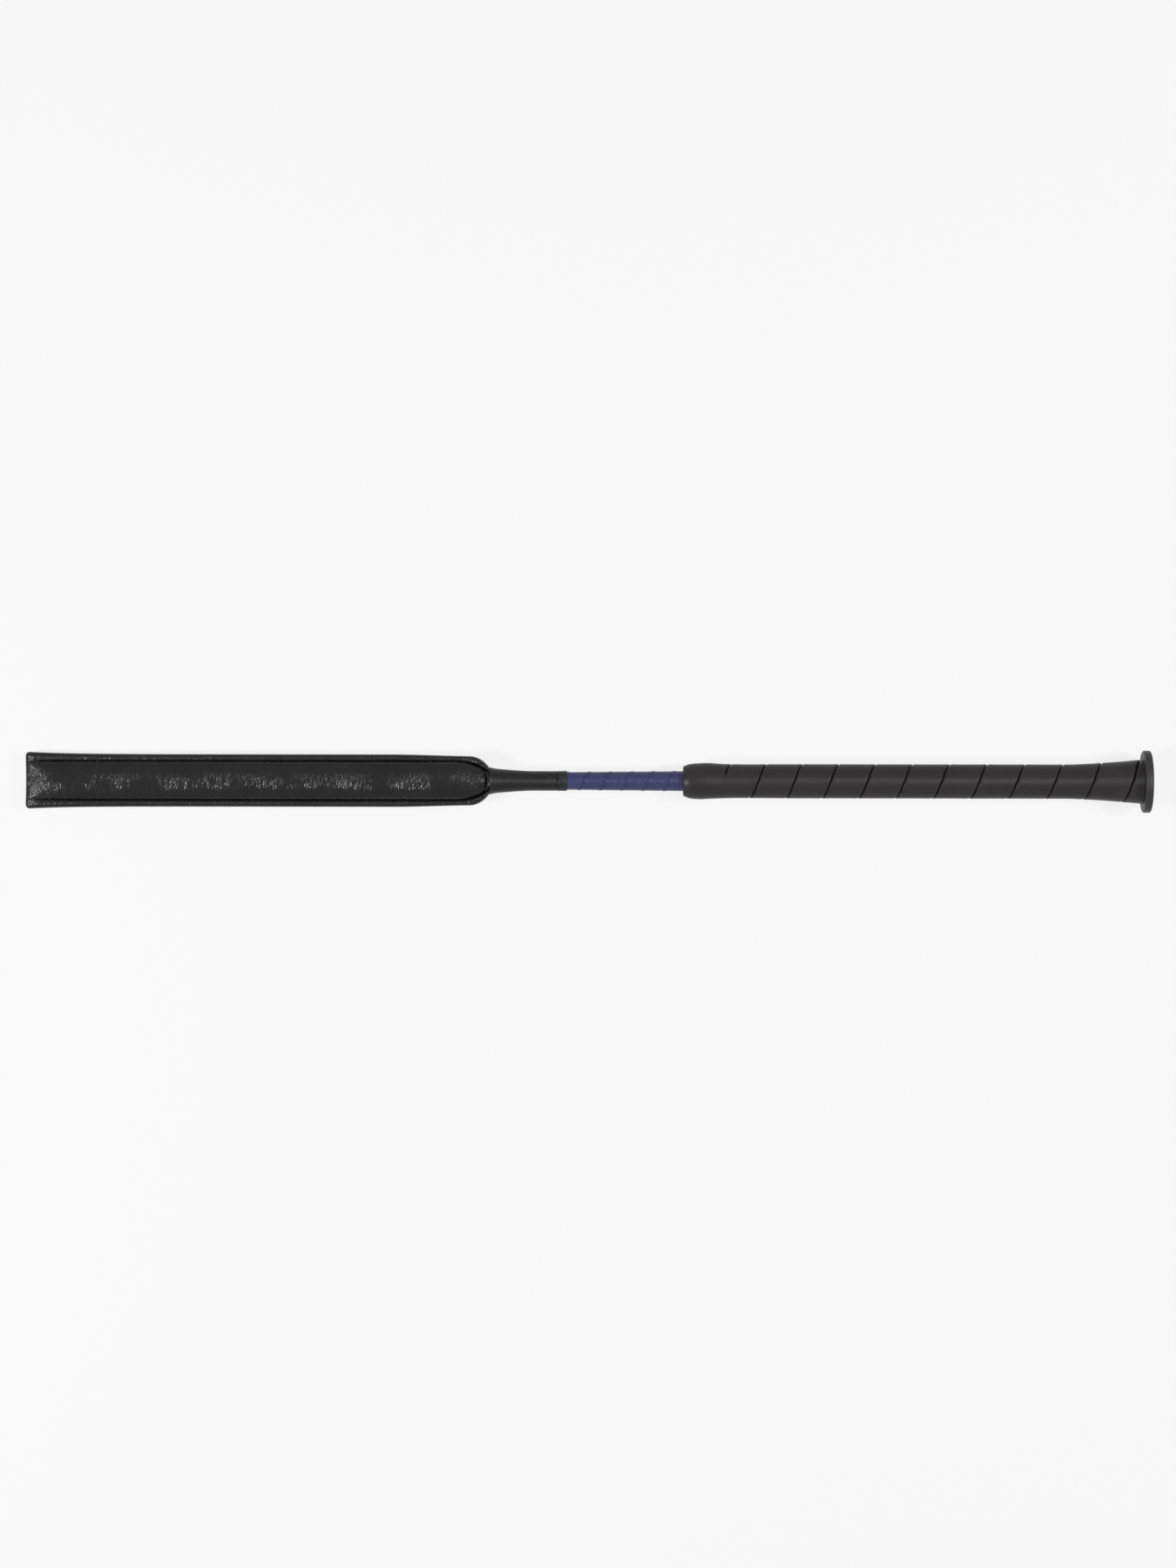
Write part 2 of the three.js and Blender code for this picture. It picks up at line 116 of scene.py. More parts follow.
bpy.ops.mesh.primitive_circle_add(vertices=96, radius=9, fill_type="NGON", location=(0, 0, -0.0004))
floor = bpy.context.object
floor.name = "floor"
floor_paint = bpy.data.materials.new("pale_floor")
floor_paint.use_nodes = True
tree = floor_paint.node_tree
tree.nodes.clear()
diffuse = tree.nodes.new("ShaderNodeBsdfDiffuse")
diffuse.inputs["Color"].default_value = PALE
glow = tree.nodes.new("ShaderNodeEmission")
glow.inputs["Color"].default_value = PALE
mix = tree.nodes.new("ShaderNodeMixShader")
floor_out = tree.nodes.new("ShaderNodeOutputMaterial")
glow_share = tree.nodes.new("ShaderNodeMath")
glow_share.operation = "MULTIPLY"
glow_share.inputs[1].default_value = FLOOR_GLOW
tree.links.new(pale_rays(tree), glow_share.inputs[0])
tree.links.new(glow_share.outputs[0], mix.inputs["Fac"])
tree.links.new(diffuse.outputs[0], mix.inputs[1])
tree.links.new(glow.outputs[0], mix.inputs[2])
tree.links.new(mix.outputs[0], floor_out.inputs["Surface"])
floor.data.materials.append(floor_paint)

world = bpy.data.worlds.new("even_light")
bpy.context.scene.world = world
world.use_nodes = True
tree = world.node_tree
tree.nodes.clear()
round_light = tree.nodes.new("ShaderNodeBackground")
round_light.inputs["Color"].default_value = (1, 1, 1, 1)
round_light.inputs["Strength"].default_value = ROUND_LIGHT
backdrop = tree.nodes.new("ShaderNodeBackground")
backdrop.inputs["Color"].default_value = PALE
world_mix = tree.nodes.new("ShaderNodeMixShader")
world_out = tree.nodes.new("ShaderNodeOutputWorld")
tree.links.new(pale_rays(tree), world_mix.inputs["Fac"])
tree.links.new(round_light.outputs[0], world_mix.inputs[1])
tree.links.new(backdrop.outputs[0], world_mix.inputs[2])
tree.links.new(world_mix.outputs[0], world_out.inputs["Surface"])

for lamp_name, lamp_values in LAMPS.items():
    bpy.ops.object.light_add(type="AREA", location=lamp_values["place"])
    lamp = bpy.context.object
    lamp.name = lamp_name
    lamp.data.shape = "RECTANGLE"
    lamp.data.size, lamp.data.size_y = lamp_values["size"]
    lamp.data.energy = lamp_values["power"]
    lamp.rotation_euler = Vector(lamp_values["place"]).to_track_quat("Z", "Y").to_euler()

bpy.ops.object.camera_add()
camera = bpy.context.object
camera.name = "camera"
camera.data.lens = CAMERA_LENS
camera.data.sensor_width = 36
camera.location = (tip_centre.x + CAMERA_ALONG, CAMERA_ACROSS, CAMERA_HEIGHT)
camera.rotation_euler = (0, 0, CAMERA_ROLL)
bpy.context.scene.camera = camera
bpy.context.scene.view_settings.view_transform = "Standard"


# ---- flap: padded leather ------------------------------------------------------------------------
# Two faces of thin black leather, sewn together along both sides over a foam pad. Outside each
# seam the edge is rolled over a filler cord, and at the neck the leather is gathered round the
# shaft and bound. The tip is closed, and slopes down to its edge.
FLAP_LENGTH = 268.7 * MM
COVER_END = FLAP_LENGTH + 22 * MM
SEAM_OFFSET = 11.1 * MM
SEAM_AT_NECK = 4.4 * MM
SEAM_TURNS_IN = FLAP_LENGTH - 20 * MM
SEAM_TURN_LENGTH = 20.5 * MM
SEAM_HEIGHT = 2.0 * MM
SEAM_HEIGHT_AT_NECK = 3.2 * MM
PUCKER = 0.14 * MM
GROOVE_HALF = 0.05 * MM
FLAP_HALF_WIDTH = 15.25 * MM
TIP_WIDENING = 1.35 * MM
TIP_WIDENING_REACH = 24 * MM
WAIST = 0.95 * MM
WAIST_START = FLAP_LENGTH - 56 * MM
WAIST_END = FLAP_LENGTH - 7 * MM
TIP_CORNER = 2.2 * MM
SHOULDER = 12.7 * MM
SHOULDER_START = FLAP_LENGTH - 11.5 * MM
SHOULDER_END = FLAP_LENGTH + 0.5 * MM
NECK_RADIUS = 6.35 * MM
BOUND_RADIUS = 4.7 * MM
GATHER_LENGTH = 24 * MM
ROLL_HEIGHT = 3.35 * MM
SHOULDER_ROLL = 4.7 * MM
ROLL_SLOPE = 6 * MM
ROOT_PAD = 7.5 * MM
NECK_PAD = 8.2 * MM
NECK_STEP = 5.3 * MM
PAD_NOSE = 6.5 * MM
ROOT_START = 103 * MM
TIP_TAPER = 0.0205
TIP_EDGE = 1.1 * MM
TIP_SLOPE = 13 * MM
TIP_REACH = 0.5 * MM
TIP_BOW = 0.25 * MM
STITCH_PITCH = 4.7 * MM
COVER_STEP = 0.46 * MM
CREASE_HEIGHT = 0.10 * MM
GATHER_HEIGHT = 0.14 * MM
TIP_FOLD_HEIGHT = 0.12 * MM
EDGE_RIPPLE = 0.16 * MM
EDGE_WAVE = 0.10 * MM


def smooth(value, low, high):
    t = np.clip((value - low) / (high - low), 0, 1)
    return t * t * (3 - 2 * t)


def mix_values(a, b, share):
    return a + (b - a) * share


def rise(distance, length):
    """A quarter-round rise from 0 to 1 over a length."""
    part = np.clip(distance / length, 0, 1)
    return np.sqrt(1 - (1 - part) ** 2)


def neck_radius(x):
    part = np.clip((x - FLAP_LENGTH) / GATHER_LENGTH, 0, 1)
    return BOUND_RADIUS + (NECK_RADIUS - BOUND_RADIUS) * (1 - part) ** 1.3


def flap_half_width(x):
    open_width = (FLAP_HALF_WIDTH + TIP_WIDENING * np.exp(-x / TIP_WIDENING_REACH)
                  - WAIST * smooth(x, WAIST_START, WAIST_END))
    corner = np.clip(TIP_CORNER - x, 0, TIP_CORNER)
    rounded = TIP_CORNER - np.sqrt(TIP_CORNER ** 2 - corner ** 2)
    part = np.clip((x - SHOULDER_START) / (SHOULDER_END - SHOULDER_START), 0, 1)
    return mix_values(neck_radius(x), open_width - rounded, (1 - part ** 2) ** 0.8)


def seam_y(x):
    """How far the seam runs from the flap's middle: parallel to it, then in with the shoulder."""
    part = np.clip((x - SEAM_TURNS_IN) / SEAM_TURN_LENGTH, 0, 1)
    return mix_values(SEAM_OFFSET, SEAM_AT_NECK, part ** 2.2)


def roll_height(x):
    open_height = mix_values(ROLL_HEIGHT, SHOULDER_ROLL, smooth(x, 250 * MM, 264 * MM))
    return mix_values(TIP_EDGE, open_height, rise(x, ROLL_SLOPE))


def seam_height(x):
    """The bottom of the groove. It runs out at the tip, and comes up at the neck."""
    groove = mix_values(SEAM_HEIGHT, SEAM_HEIGHT_AT_NECK, smooth(x, 262 * MM, 269 * MM))
    return mix_values(roll_height(x) * 0.99, groove, smooth(x, 3 * MM, 12 * MM))


def pad_height(x, across=0.0):
    """The pad's height, where across is 0 in its middle and 1 at its seams."""
    belly = np.where(x < ROOT_START, ROOT_PAD - TIP_TAPER * (ROOT_START - x),
                     mix_values(ROOT_PAD, NECK_PAD, smooth(x, ROOT_START, FLAP_LENGTH - SHOULDER)))
    from_tip = rise(x, TIP_SLOPE * (1 - 0.5 * across ** 2))
    from_neck = rise(FLAP_LENGTH - (1.4 + 2.0 * across ** 2) * MM - x, PAD_NOSE)
    return mix_values(TIP_EDGE, mix_values(NECK_STEP, belly, from_neck), from_tip)


ROLL_STEPS = np.radians(np.linspace(0, 180, 15))
PANEL_STEPS = np.radians(np.linspace(0, 180, 47))


def face_outline(x, inset):
    """Heights and places across one face of the flap, from its +y edge to its -y edge."""
    width = flap_half_width(x)
    gap = GROOVE_HALF * smooth(x, 2 * MM, 10 * MM)
    pucker = PUCKER * math.cos(2 * math.pi * x / STITCH_PITCH) * smooth(x, 8 * MM, 14 * MM)
    seam = seam_y(x) + pucker * 0.5
    half = (width - seam - gap) / 2
    low = np.minimum(seam_height(x) + pucker, pad_height(x, 1.0) * 0.99) - inset
    top = roll_height(x) - inset
    roll_y = width - half + half * np.cos(ROLL_STEPS)
    roll_y[ROLL_STEPS < math.pi / 2] -= inset * np.cos(ROLL_STEPS[ROLL_STEPS < math.pi / 2])
    foot = np.where(ROLL_STEPS < math.pi / 2, 0, low)
    roll_z = foot + (top - foot) * np.sin(ROLL_STEPS) ** 0.72
    steps = PANEL_STEPS[1:-1]
    panel_y = (seam - gap) * np.cos(steps)
    pad = pad_height(x, np.abs(np.cos(steps))) - inset
    panel_z = low + (pad - low) * np.sin(steps) ** 0.66
    y = np.concatenate([roll_y, panel_y, -roll_y[::-1]])
    z = np.concatenate([roll_z, panel_z, roll_z[::-1]])
    turn = np.linspace(0, math.pi, len(y))
    radius = neck_radius(x) - inset
    gathered = smooth(x, FLAP_LENGTH - 0.4 * MM, FLAP_LENGTH + 3 * MM)
    y = mix_values(y, radius * np.cos(turn), gathered)
    z = mix_values(z, radius * np.sin(turn), gathered)
    return y, z


def wrinkle(x, y, side):
    """Creases across the pad, and unevenness along the rolled edges, as a height."""
    spot = Vector((x / MM, y / MM, 40.0 * side))
    across_pad = abs(y) / SEAM_OFFSET
    wander = noise.noise(Vector((spot.x * 0.11, spot.y * 0.16, spot.z)))
    crease_x = spot.x * 0.55 + wander * 2.2 + spot.y * 0.10
    crease = noise.noise(Vector((crease_x, spot.y * 0.15, spot.z + 7)))
    patch = 0.55 + 0.6 * noise.noise(Vector((spot.x * 0.045, spot.y * 0.09, spot.z + 3)))
    pad_share = max(0.0, 1 - across_pad ** 4)
    height = CREASE_HEIGHT * (0.5 - abs(crease) * 1.6) * patch * pad_share
    gathers = float(smooth(x, FLAP_LENGTH - 16 * MM, FLAP_LENGTH - 4 * MM))
    tip_folds = float(1 - smooth(x, 2 * MM, 16 * MM))
    lengthways = noise.noise(Vector((spot.x * 0.10, spot.y * 0.75, spot.z + 11)))
    slanting = noise.noise(Vector((spot.x * 0.5 + spot.y * 0.3, spot.y * 0.45, spot.z + 31)))
    height += GATHER_HEIGHT * gathers * lengthways + TIP_FOLD_HEIGHT * tip_folds * slanting
    if across_pad > 0.8:
        near = math.exp(-((across_pad - 1.15) / 0.18) ** 2)
        height += EDGE_RIPPLE * near * noise.noise(Vector((spot.x * 0.55, spot.y * 0.3, spot.z + 50)))
        height += EDGE_WAVE * near * noise.noise(Vector((spot.x * 0.16, spot.y * 0.2, spot.z + 60)))
    return height


def flap_rows(spacing):
    """Places along the flap: close together at the tip's slope and at the neck."""
    tip_rows = TIP_SLOPE * (1 - np.cos(np.linspace(0, math.pi / 2, 30))) * 0.999
    neck_start = FLAP_LENGTH - 14 * MM
    neck_end = FLAP_LENGTH + 3 * MM
    body_rows = np.arange(TIP_SLOPE, neck_start, spacing)
    neck_rows = np.linspace(neck_start, neck_end, int(17 * MM / (spacing * 0.6)))
    bound_rows = np.linspace(neck_end, COVER_END, 12)
    return np.concatenate([tip_rows[:-1], body_rows, neck_rows, bound_rows[1:]])


def flap_skin(rows, inset, detailed):
    """A closed skin over both faces: rings along the flap, and a fan at each end."""
    rings = []
    for x in rows:
        y, z = face_outline(x, inset)
        ring = []
        for side in (1, -1):
            order = range(len(y)) if side > 0 else range(len(y) - 2, 0, -1)
            for i in order:
                height = wrinkle(x, y[i], side) if detailed and z[i] > 0.3 * MM else 0.0
                ring.append((x, y[i], side * (z[i] + height)))
        rings.append(ring)
    size = len(rings[0])
    vertices = [vertex for ring in rings for vertex in ring]
    faces = []
    for i in range(len(rings) - 1):
        for j in range(size):
            k = (j + 1) % size
            faces.append((i * size + j, i * size + k, (i + 1) * size + k, (i + 1) * size + j))
    half = size // 2
    last = (len(rings) - 1) * size
    for start, flip in ((0, False), (last, True)):
        for j in range(half):
            top = [start + j, start + j + 1]
            bottom = [start + (size - j - 1) % size, start + (size - j) % size]
            face = list(dict.fromkeys([top[0], bottom[1], bottom[0], top[1]]))
            faces.append(tuple(face[::-1] if flip else face))
    mesh = bpy.data.meshes.new("flap_skin")
    mesh.from_pydata(vertices, [], faces)
    mesh.validate()
    piece = bpy.data.objects.new("flap_skin", mesh)
    bpy.context.collection.objects.link(piece)
    return piece


def end_dent(piece):
    """The tip's edge reaches out a little, and bows in between its corners."""
    for vertex in piece.data.vertices:
        near_end = 1 - float(smooth(vertex.co.x, 0, 8 * MM))
        middle = max(0.0, 1 - (vertex.co.y / (14 * MM)) ** 2)
        vertex.co.x += (TIP_BOW * middle - TIP_REACH) * near_end


def pick(piece):
    """Makes a piece the only one selected, and the active one."""
    bpy.ops.object.select_all(action="DESELECT")
    piece.select_set(True)
    bpy.context.view_layer.objects.active = piece


def shade_smooth(piece, angle=180):
    pick(piece)
    if angle >= 180:
        bpy.ops.object.shade_smooth()
    else:
        bpy.ops.object.shade_smooth_by_angle(angle=math.radians(angle))


def new_material(name, color, roughness, specular=0.5):
    """A material with its shader, and a Bump that feeds the shader's Normal."""
    material = bpy.data.materials.new(name)
    material.use_nodes = True
    nodes = material.node_tree.nodes
    shader = nodes["Principled BSDF"]
    shader.inputs["Base Color"].default_value = (*color, 1)
    shader.inputs["Roughness"].default_value = roughness
    shader.inputs["Specular IOR Level"].default_value = specular
    bump = nodes.new("ShaderNodeBump")
    material.node_tree.links.new(bump.outputs["Normal"], shader.inputs["Normal"])
    return material, material.node_tree, shader, bump


def node_group(name, inputs, outputs):
    """An empty shader node group with named float, colour and vector sockets."""
    group = bpy.data.node_groups.new(name, "ShaderNodeTree")
    for socket, kind, value in inputs:
        made = group.interface.new_socket(socket, in_out="INPUT", socket_type="NodeSocket" + kind)
        if value is not None:
            made.default_value = value
    for socket, kind in outputs:
        group.interface.new_socket(socket, in_out="OUTPUT", socket_type="NodeSocket" + kind)
    return group, group.nodes.new("NodeGroupInput"), group.nodes.new("NodeGroupOutput")


def place_group(tree, group, **values):
    node = tree.nodes.new("ShaderNodeGroup")
    node.node_tree = group
    for socket, value in values.items():
        node.inputs[socket.replace("_", " ")].default_value = value
    return node


def math_node(tree, operation, a, b=None, clamp=False):
    node = tree.nodes.new("ShaderNodeMath")
    node.operation = operation
    node.use_clamp = clamp
    for i, value in enumerate((a, b)):
        if value is None:
            continue
        if isinstance(value, (int, float)):
            node.inputs[i].default_value = value
        else:
            tree.links.new(value, node.inputs[i])
    return node.outputs[0]


def mix_colors(tree, share, a, b):
    node = tree.nodes.new("ShaderNodeMix")
    node.data_type = "RGBA"
    for socket, value in ((node.inputs[0], share), (node.inputs[6], a), (node.inputs[7], b)):
        if isinstance(value, (int, float)):
            socket.default_value = value
        elif isinstance(value, tuple):
            socket.default_value = (*value, 1)
        else:
            tree.links.new(value, socket)
    return node.outputs[2]


def texture(tree, kind, vector, **values):
    node = tree.nodes.new("ShaderNodeTex" + kind)
    for socket, value in values.items():
        if hasattr(node, socket) and socket not in [i.name for i in node.inputs]:
            setattr(node, socket, value)
        else:
            node.inputs[socket.replace("_", " ")].default_value = value
    tree.links.new(vector, node.inputs["Vector"])
    return node


def fade_in(tree, value, start, length):
    """Rises from 0 to 1 as the value passes from start to start + length."""
    return math_node(tree, "DIVIDE", math_node(tree, "SUBTRACT", value, start), length, clamp=True)


def object_place(tree, scale=(1, 1, 1), turn=0.0):
    """Object coordinates, turned about z by one Mapping node and stretched by the next."""
    place = tree.nodes.new("ShaderNodeTexCoord")
    turned_place = tree.nodes.new("ShaderNodeMapping")
    turned_place.inputs["Rotation"].default_value = (0, 0, turn)
    mapping = tree.nodes.new("ShaderNodeMapping")
    mapping.inputs["Scale"].default_value = scale
    tree.links.new(place.outputs["Object"], turned_place.inputs["Vector"])
    tree.links.new(turned_place.outputs["Vector"], mapping.inputs["Vector"])
    return mapping.outputs["Vector"]


# Pebble grain, as pressed into coated leather or left by a sandblasted mould.
pebble, pebble_in, pebble_out = node_group(
    "pebble_grain",
    [("Vector", "Vector", None), ("Scale", "Float", 1200.0), ("Softness", "Float", 0.4)],
    [("Height", "Float"), ("Pores", "Float")],
)
cells = pebble.nodes.new("ShaderNodeTexVoronoi")
cells.feature = "SMOOTH_F1"
specks = pebble.nodes.new("ShaderNodeTexNoise")
specks.inputs["Detail"].default_value = 4
for node in (cells, specks):
    pebble.links.new(pebble_in.outputs["Vector"], node.inputs["Vector"])
pebble.links.new(pebble_in.outputs["Scale"], cells.inputs["Scale"])
pebble.links.new(pebble_in.outputs["Softness"], cells.inputs["Smoothness"])
speck_scale = math_node(pebble, "MULTIPLY", pebble_in.outputs["Scale"], 2.1)
pebble.links.new(speck_scale, specks.inputs["Scale"])
domes = math_node(pebble, "SUBTRACT", 1.0, cells.outputs["Distance"])
pebble.links.new(math_node(pebble, "ADD", domes, math_node(pebble, "MULTIPLY", specks.outputs[0], 0.25)),
                 pebble_out.inputs["Height"])
pebble.links.new(math_node(pebble, "MULTIPLY", cells.outputs["Distance"], 1.6, clamp=True),
                 pebble_out.inputs["Pores"])

# Handling marks: broad cloudy change in tone and gloss, with dust where it is thicker.
handling, handling_in, handling_out = node_group(
    "handling_marks",
    [("Vector", "Vector", None), ("Color", "Color", (0.1, 0.1, 0.1, 1)),
     ("Dust", "Color", (0.2, 0.2, 0.19, 1)), ("Amount", "Float", 0.15), ("Scale", "Float", 40.0),
     ("Roughness", "Float", 0.5), ("Spread", "Float", 0.1)],
    [("Color", "Color"), ("Roughness", "Float")],
)
clouds = handling.nodes.new("ShaderNodeTexNoise")
clouds.inputs["Detail"].default_value = 6
clouds.inputs["Roughness"].default_value = 0.62
handling.links.new(handling_in.outputs["Vector"], clouds.inputs["Vector"])
handling.links.new(handling_in.outputs["Scale"], clouds.inputs["Scale"])
centred = math_node(handling, "SUBTRACT", clouds.outputs[0], 0.42, clamp=True)
share = math_node(handling, "MULTIPLY", centred, handling_in.outputs["Amount"], clamp=True)
dusty = mix_colors(handling, share, handling_in.outputs["Color"], handling_in.outputs["Dust"])
handling.links.new(dusty, handling_out.inputs["Color"])
swing = math_node(handling, "MULTIPLY", math_node(handling, "SUBTRACT", clouds.outputs[0], 0.5),
                  handling_in.outputs["Spread"])
handling.links.new(math_node(handling, "ADD", handling_in.outputs["Roughness"], swing, clamp=True),
                   handling_out.inputs["Roughness"])


def finish_surface(tree, shader, bump, vector, color, roughness, grain_scale, grain_depth,
                   dust=(0.16, 0.16, 0.155), dust_amount=0.25, cloud_scale=55.0, spread=0.12,
                   softness=0.4):
    """Handling marks into the colour and roughness, and pebble grain into the bump."""
    marks = place_group(tree, handling, Color=(*color, 1), Dust=(*dust, 1), Amount=dust_amount,
                        Scale=cloud_scale, Roughness=roughness, Spread=spread)
    grain = place_group(tree, pebble, Scale=grain_scale, Softness=softness)
    tree.links.new(vector, marks.inputs["Vector"])
    tree.links.new(vector, grain.inputs["Vector"])
    tree.links.new(marks.outputs["Color"], shader.inputs["Base Color"])
    tree.links.new(marks.outputs["Roughness"], shader.inputs["Roughness"])
    bump.inputs["Distance"].default_value = grain_depth
    tree.links.new(grain.outputs["Height"], bump.inputs["Height"])
    return grain, marks


leather, tree, shader, bump = new_material("black_coated_leather", (0.006, 0.006, 0.006), 0.25, 0.25)
vector = object_place(tree)
grain, marks = finish_surface(tree, shader, bump, vector, (0.0040, 0.0037, 0.0038), 0.23,
                              1100.0, 1 * MM, dust=(0.026, 0.026, 0.027), dust_amount=0.5,
                              spread=0.16, softness=0.35)

# Flexing has left short creases across the crest of the pad.
STROKE_LEAN = math.radians(8)
CREST_ASIDE = 0.6 * MM
FOLD_DEPTH = 0.22
GRAIN_LEAST = 0.06
GRAIN_RISE = 0.13
strokes = texture(tree, "Noise", object_place(tree, (1, 0.26, 0.26), STROKE_LEAN), Scale=470.0,
                  Detail=2.0, Roughness=0.5, Distortion=0.35)
patches = texture(tree, "Noise", object_place(tree), Scale=55.0, Detail=2.0)
split = tree.nodes.new("ShaderNodeSeparateXYZ")
tree.links.new(object_place(tree), split.inputs[0])
off_crest = math_node(tree, "ABSOLUTE", math_node(tree, "ADD", split.outputs["Y"], CREST_ASIDE))
on_crest = math_node(tree, "SUBTRACT", 1.0, fade_in(tree, off_crest, 2.2 * MM, 4.0 * MM))
from_fold = math_node(tree, "ABSOLUTE", math_node(tree, "SUBTRACT", strokes.outputs[0], 0.5))
fold = math_node(tree, "SUBTRACT", 1.0, math_node(tree, "MULTIPLY", from_fold, 9.0), clamp=True)
patchy = fade_in(tree, patches.outputs[0], 0.41, 0.2)
fold_height = math_node(tree, "MULTIPLY", math_node(tree, "MULTIPLY", fold, on_crest), patchy)

# The grain is stretched flat over the pad, and stands up at the tip, the neck and the rolled edges.
off_tip = fade_in(tree, split.outputs["X"], tip_centre.x + 12 * MM, 12 * MM)
at_tip = math_node(tree, "SUBTRACT", 1.0, off_tip)
at_neck = fade_in(tree, split.outputs["X"], tip_centre.x + 248 * MM, 10 * MM)
at_edge = fade_in(tree, off_crest, SEAM_OFFSET, 1 * MM)
loose = math_node(tree, "MAXIMUM", at_edge, math_node(tree, "MAXIMUM", at_tip, at_neck))
grain_depth = math_node(tree, "ADD", math_node(tree, "MULTIPLY", loose, GRAIN_RISE), GRAIN_LEAST)
grain_height = math_node(tree, "MULTIPLY", grain.outputs["Height"], grain_depth)
leather_height = math_node(tree, "ADD", grain_height,
                           math_node(tree, "MULTIPLY", fold_height, FOLD_DEPTH))
tree.links.new(leather_height, bump.inputs["Height"])

flap_cover = flap_skin(flap_rows(COVER_STEP), 0.0, True)
end_dent(flap_cover)
shade_smooth(flap_cover)
set_in_place(flap_cover, "flap_cover", leather, body=None)

STRETCHES = ("tip", "bend", "root")
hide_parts(*[f"{face}_leather_{part}" for face in ("front", "back") for part in STRETCHES])


def bend_with_flap(piece):
    """Bakes the piece's placing into its mesh. The piece does not bend."""
    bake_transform(piece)


bend_with_flap(flap_cover)

# ---- flap foam -----------------------------------------------------------------------------------
# A strip of closed-cell foam that fills the leather, slit for the rod.
foam, tree, shader, bump = new_material("grey_foam", (0.14, 0.14, 0.135), 0.9)
finish_surface(tree, shader, bump, object_place(tree), (0.14, 0.14, 0.135), 0.9, 900.0, 0.2 * MM)
foam_rows = np.linspace(3.5 * MM, FLAP_LENGTH - 8 * MM, 90)
flap_foam = flap_skin(foam_rows, 0.95 * MM, False)
shade_smooth(flap_foam)
set_in_place(flap_foam, "flap_foam", foam, body=None)
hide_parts(*[f"flap_foam_{part}" for part in STRETCHES])
bend_with_flap(flap_foam)

# ---- edge cords ----------------------------------------------------------------------------------
# A soft cotton filler cord in each rolled edge keeps the edge round.
CORD_RADIUS = 0.75 * MM
CORD_START = 6 * MM
CORD_END = FLAP_LENGTH - SHOULDER
CORD_FROM_EDGE = 2.05 * MM


def run_of_cord(points, radius, sides):
    """A round cord through the points, as a mesh with closed ends."""
    curve = bpy.data.curves.new("cord", "CURVE")
    curve.dimensions = "3D"
    spline = curve.splines.new("POLY")
    spline.points.add(len(points) - 1)
    for point, place in zip(spline.points, points):
        point.co = (*place, 1)
    curve.bevel_depth = radius
    curve.bevel_resolution = sides // 4 - 1
    curve.use_fill_caps = True
    piece = bpy.data.objects.new("cord", curve)
    bpy.context.collection.objects.link(piece)
    pick(piece)
    bpy.ops.object.convert(target="MESH")
    return bpy.context.object


def twisted(tree, shader, bump, scale, wave_scale, distortion, depth, dark, light):
    """The diagonal lay of twisted plies in the bump, and in the colour as painted shade: darker where
    the plies dip.
    """
    plies = texture(tree, "Wave", object_place(tree, scale), Scale=wave_scale,
                    Distortion=distortion, bands_direction="DIAGONAL")
    tree.links.new(plies.outputs["Fac"], bump.inputs["Height"])
    bump.inputs["Distance"].default_value = depth
    # Painted shade: the colour follows the bump's height, darker in the hollows between plies.
    tree.links.new(mix_colors(tree, plies.outputs["Fac"], dark, light), shader.inputs["Base Color"])


cotton, tree, shader, bump = new_material("natural_cotton", (0.5, 0.47, 0.38), 0.9)
twisted(tree, shader, bump, (1, 1, 1), 400.0, 0.4, 0.1 * MM, (0.38, 0.35, 0.28), (0.52, 0.49, 0.4))
for side_name, side in (("left", 1), ("right", -1)):
    places = [(x, side * (flap_half_width(x) - CORD_FROM_EDGE), 0.0)
              for x in np.linspace(CORD_START, CORD_END, 110)]
    edge_cord = run_of_cord(places, CORD_RADIUS, 8)
    shade_smooth(edge_cord)
    set_in_place(edge_cord, f"{side_name}_edge_cord", cotton, body=None)
    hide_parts(*[f"{side_name}_edge_cord_{part}" for part in STRETCHES])
    bend_with_flap(edge_cord)

# ---- seam stitches -------------------------------------------------------------------------------
# A lockstitch in black bonded thread runs down each side, with its own thread on each face. One
# stitch is modelled and copied along the groove that it pulls into the leather.
STITCH_LENGTH = 3.3 * MM
STITCH_RADIUS = 0.26 * MM
STITCH_START = 9.4 * MM
STITCH_SINK = 0.25 * MM

thread, tree, shader, bump = new_material("black_bonded_thread", (0.006, 0.006, 0.006), 0.6, 0.08)
twisted(tree, shader, bump, (1, 0.6, 0.6), 900.0, 0.6, 0.08 * MM,
        (0.004, 0.004, 0.004), (0.009, 0.008, 0.008))

bpy.ops.object.select_all(action="DESELECT")
bpy.ops.mesh.primitive_uv_sphere_add(segments=6, ring_count=5, radius=1)
stitch = bpy.context.object
stitch.rotation_euler.y = math.pi / 2
bpy.ops.object.transform_apply(rotation=True)
stitch.scale = (STITCH_LENGTH / 2, STITCH_RADIUS, STITCH_RADIUS)
bpy.ops.object.transform_apply(scale=True)

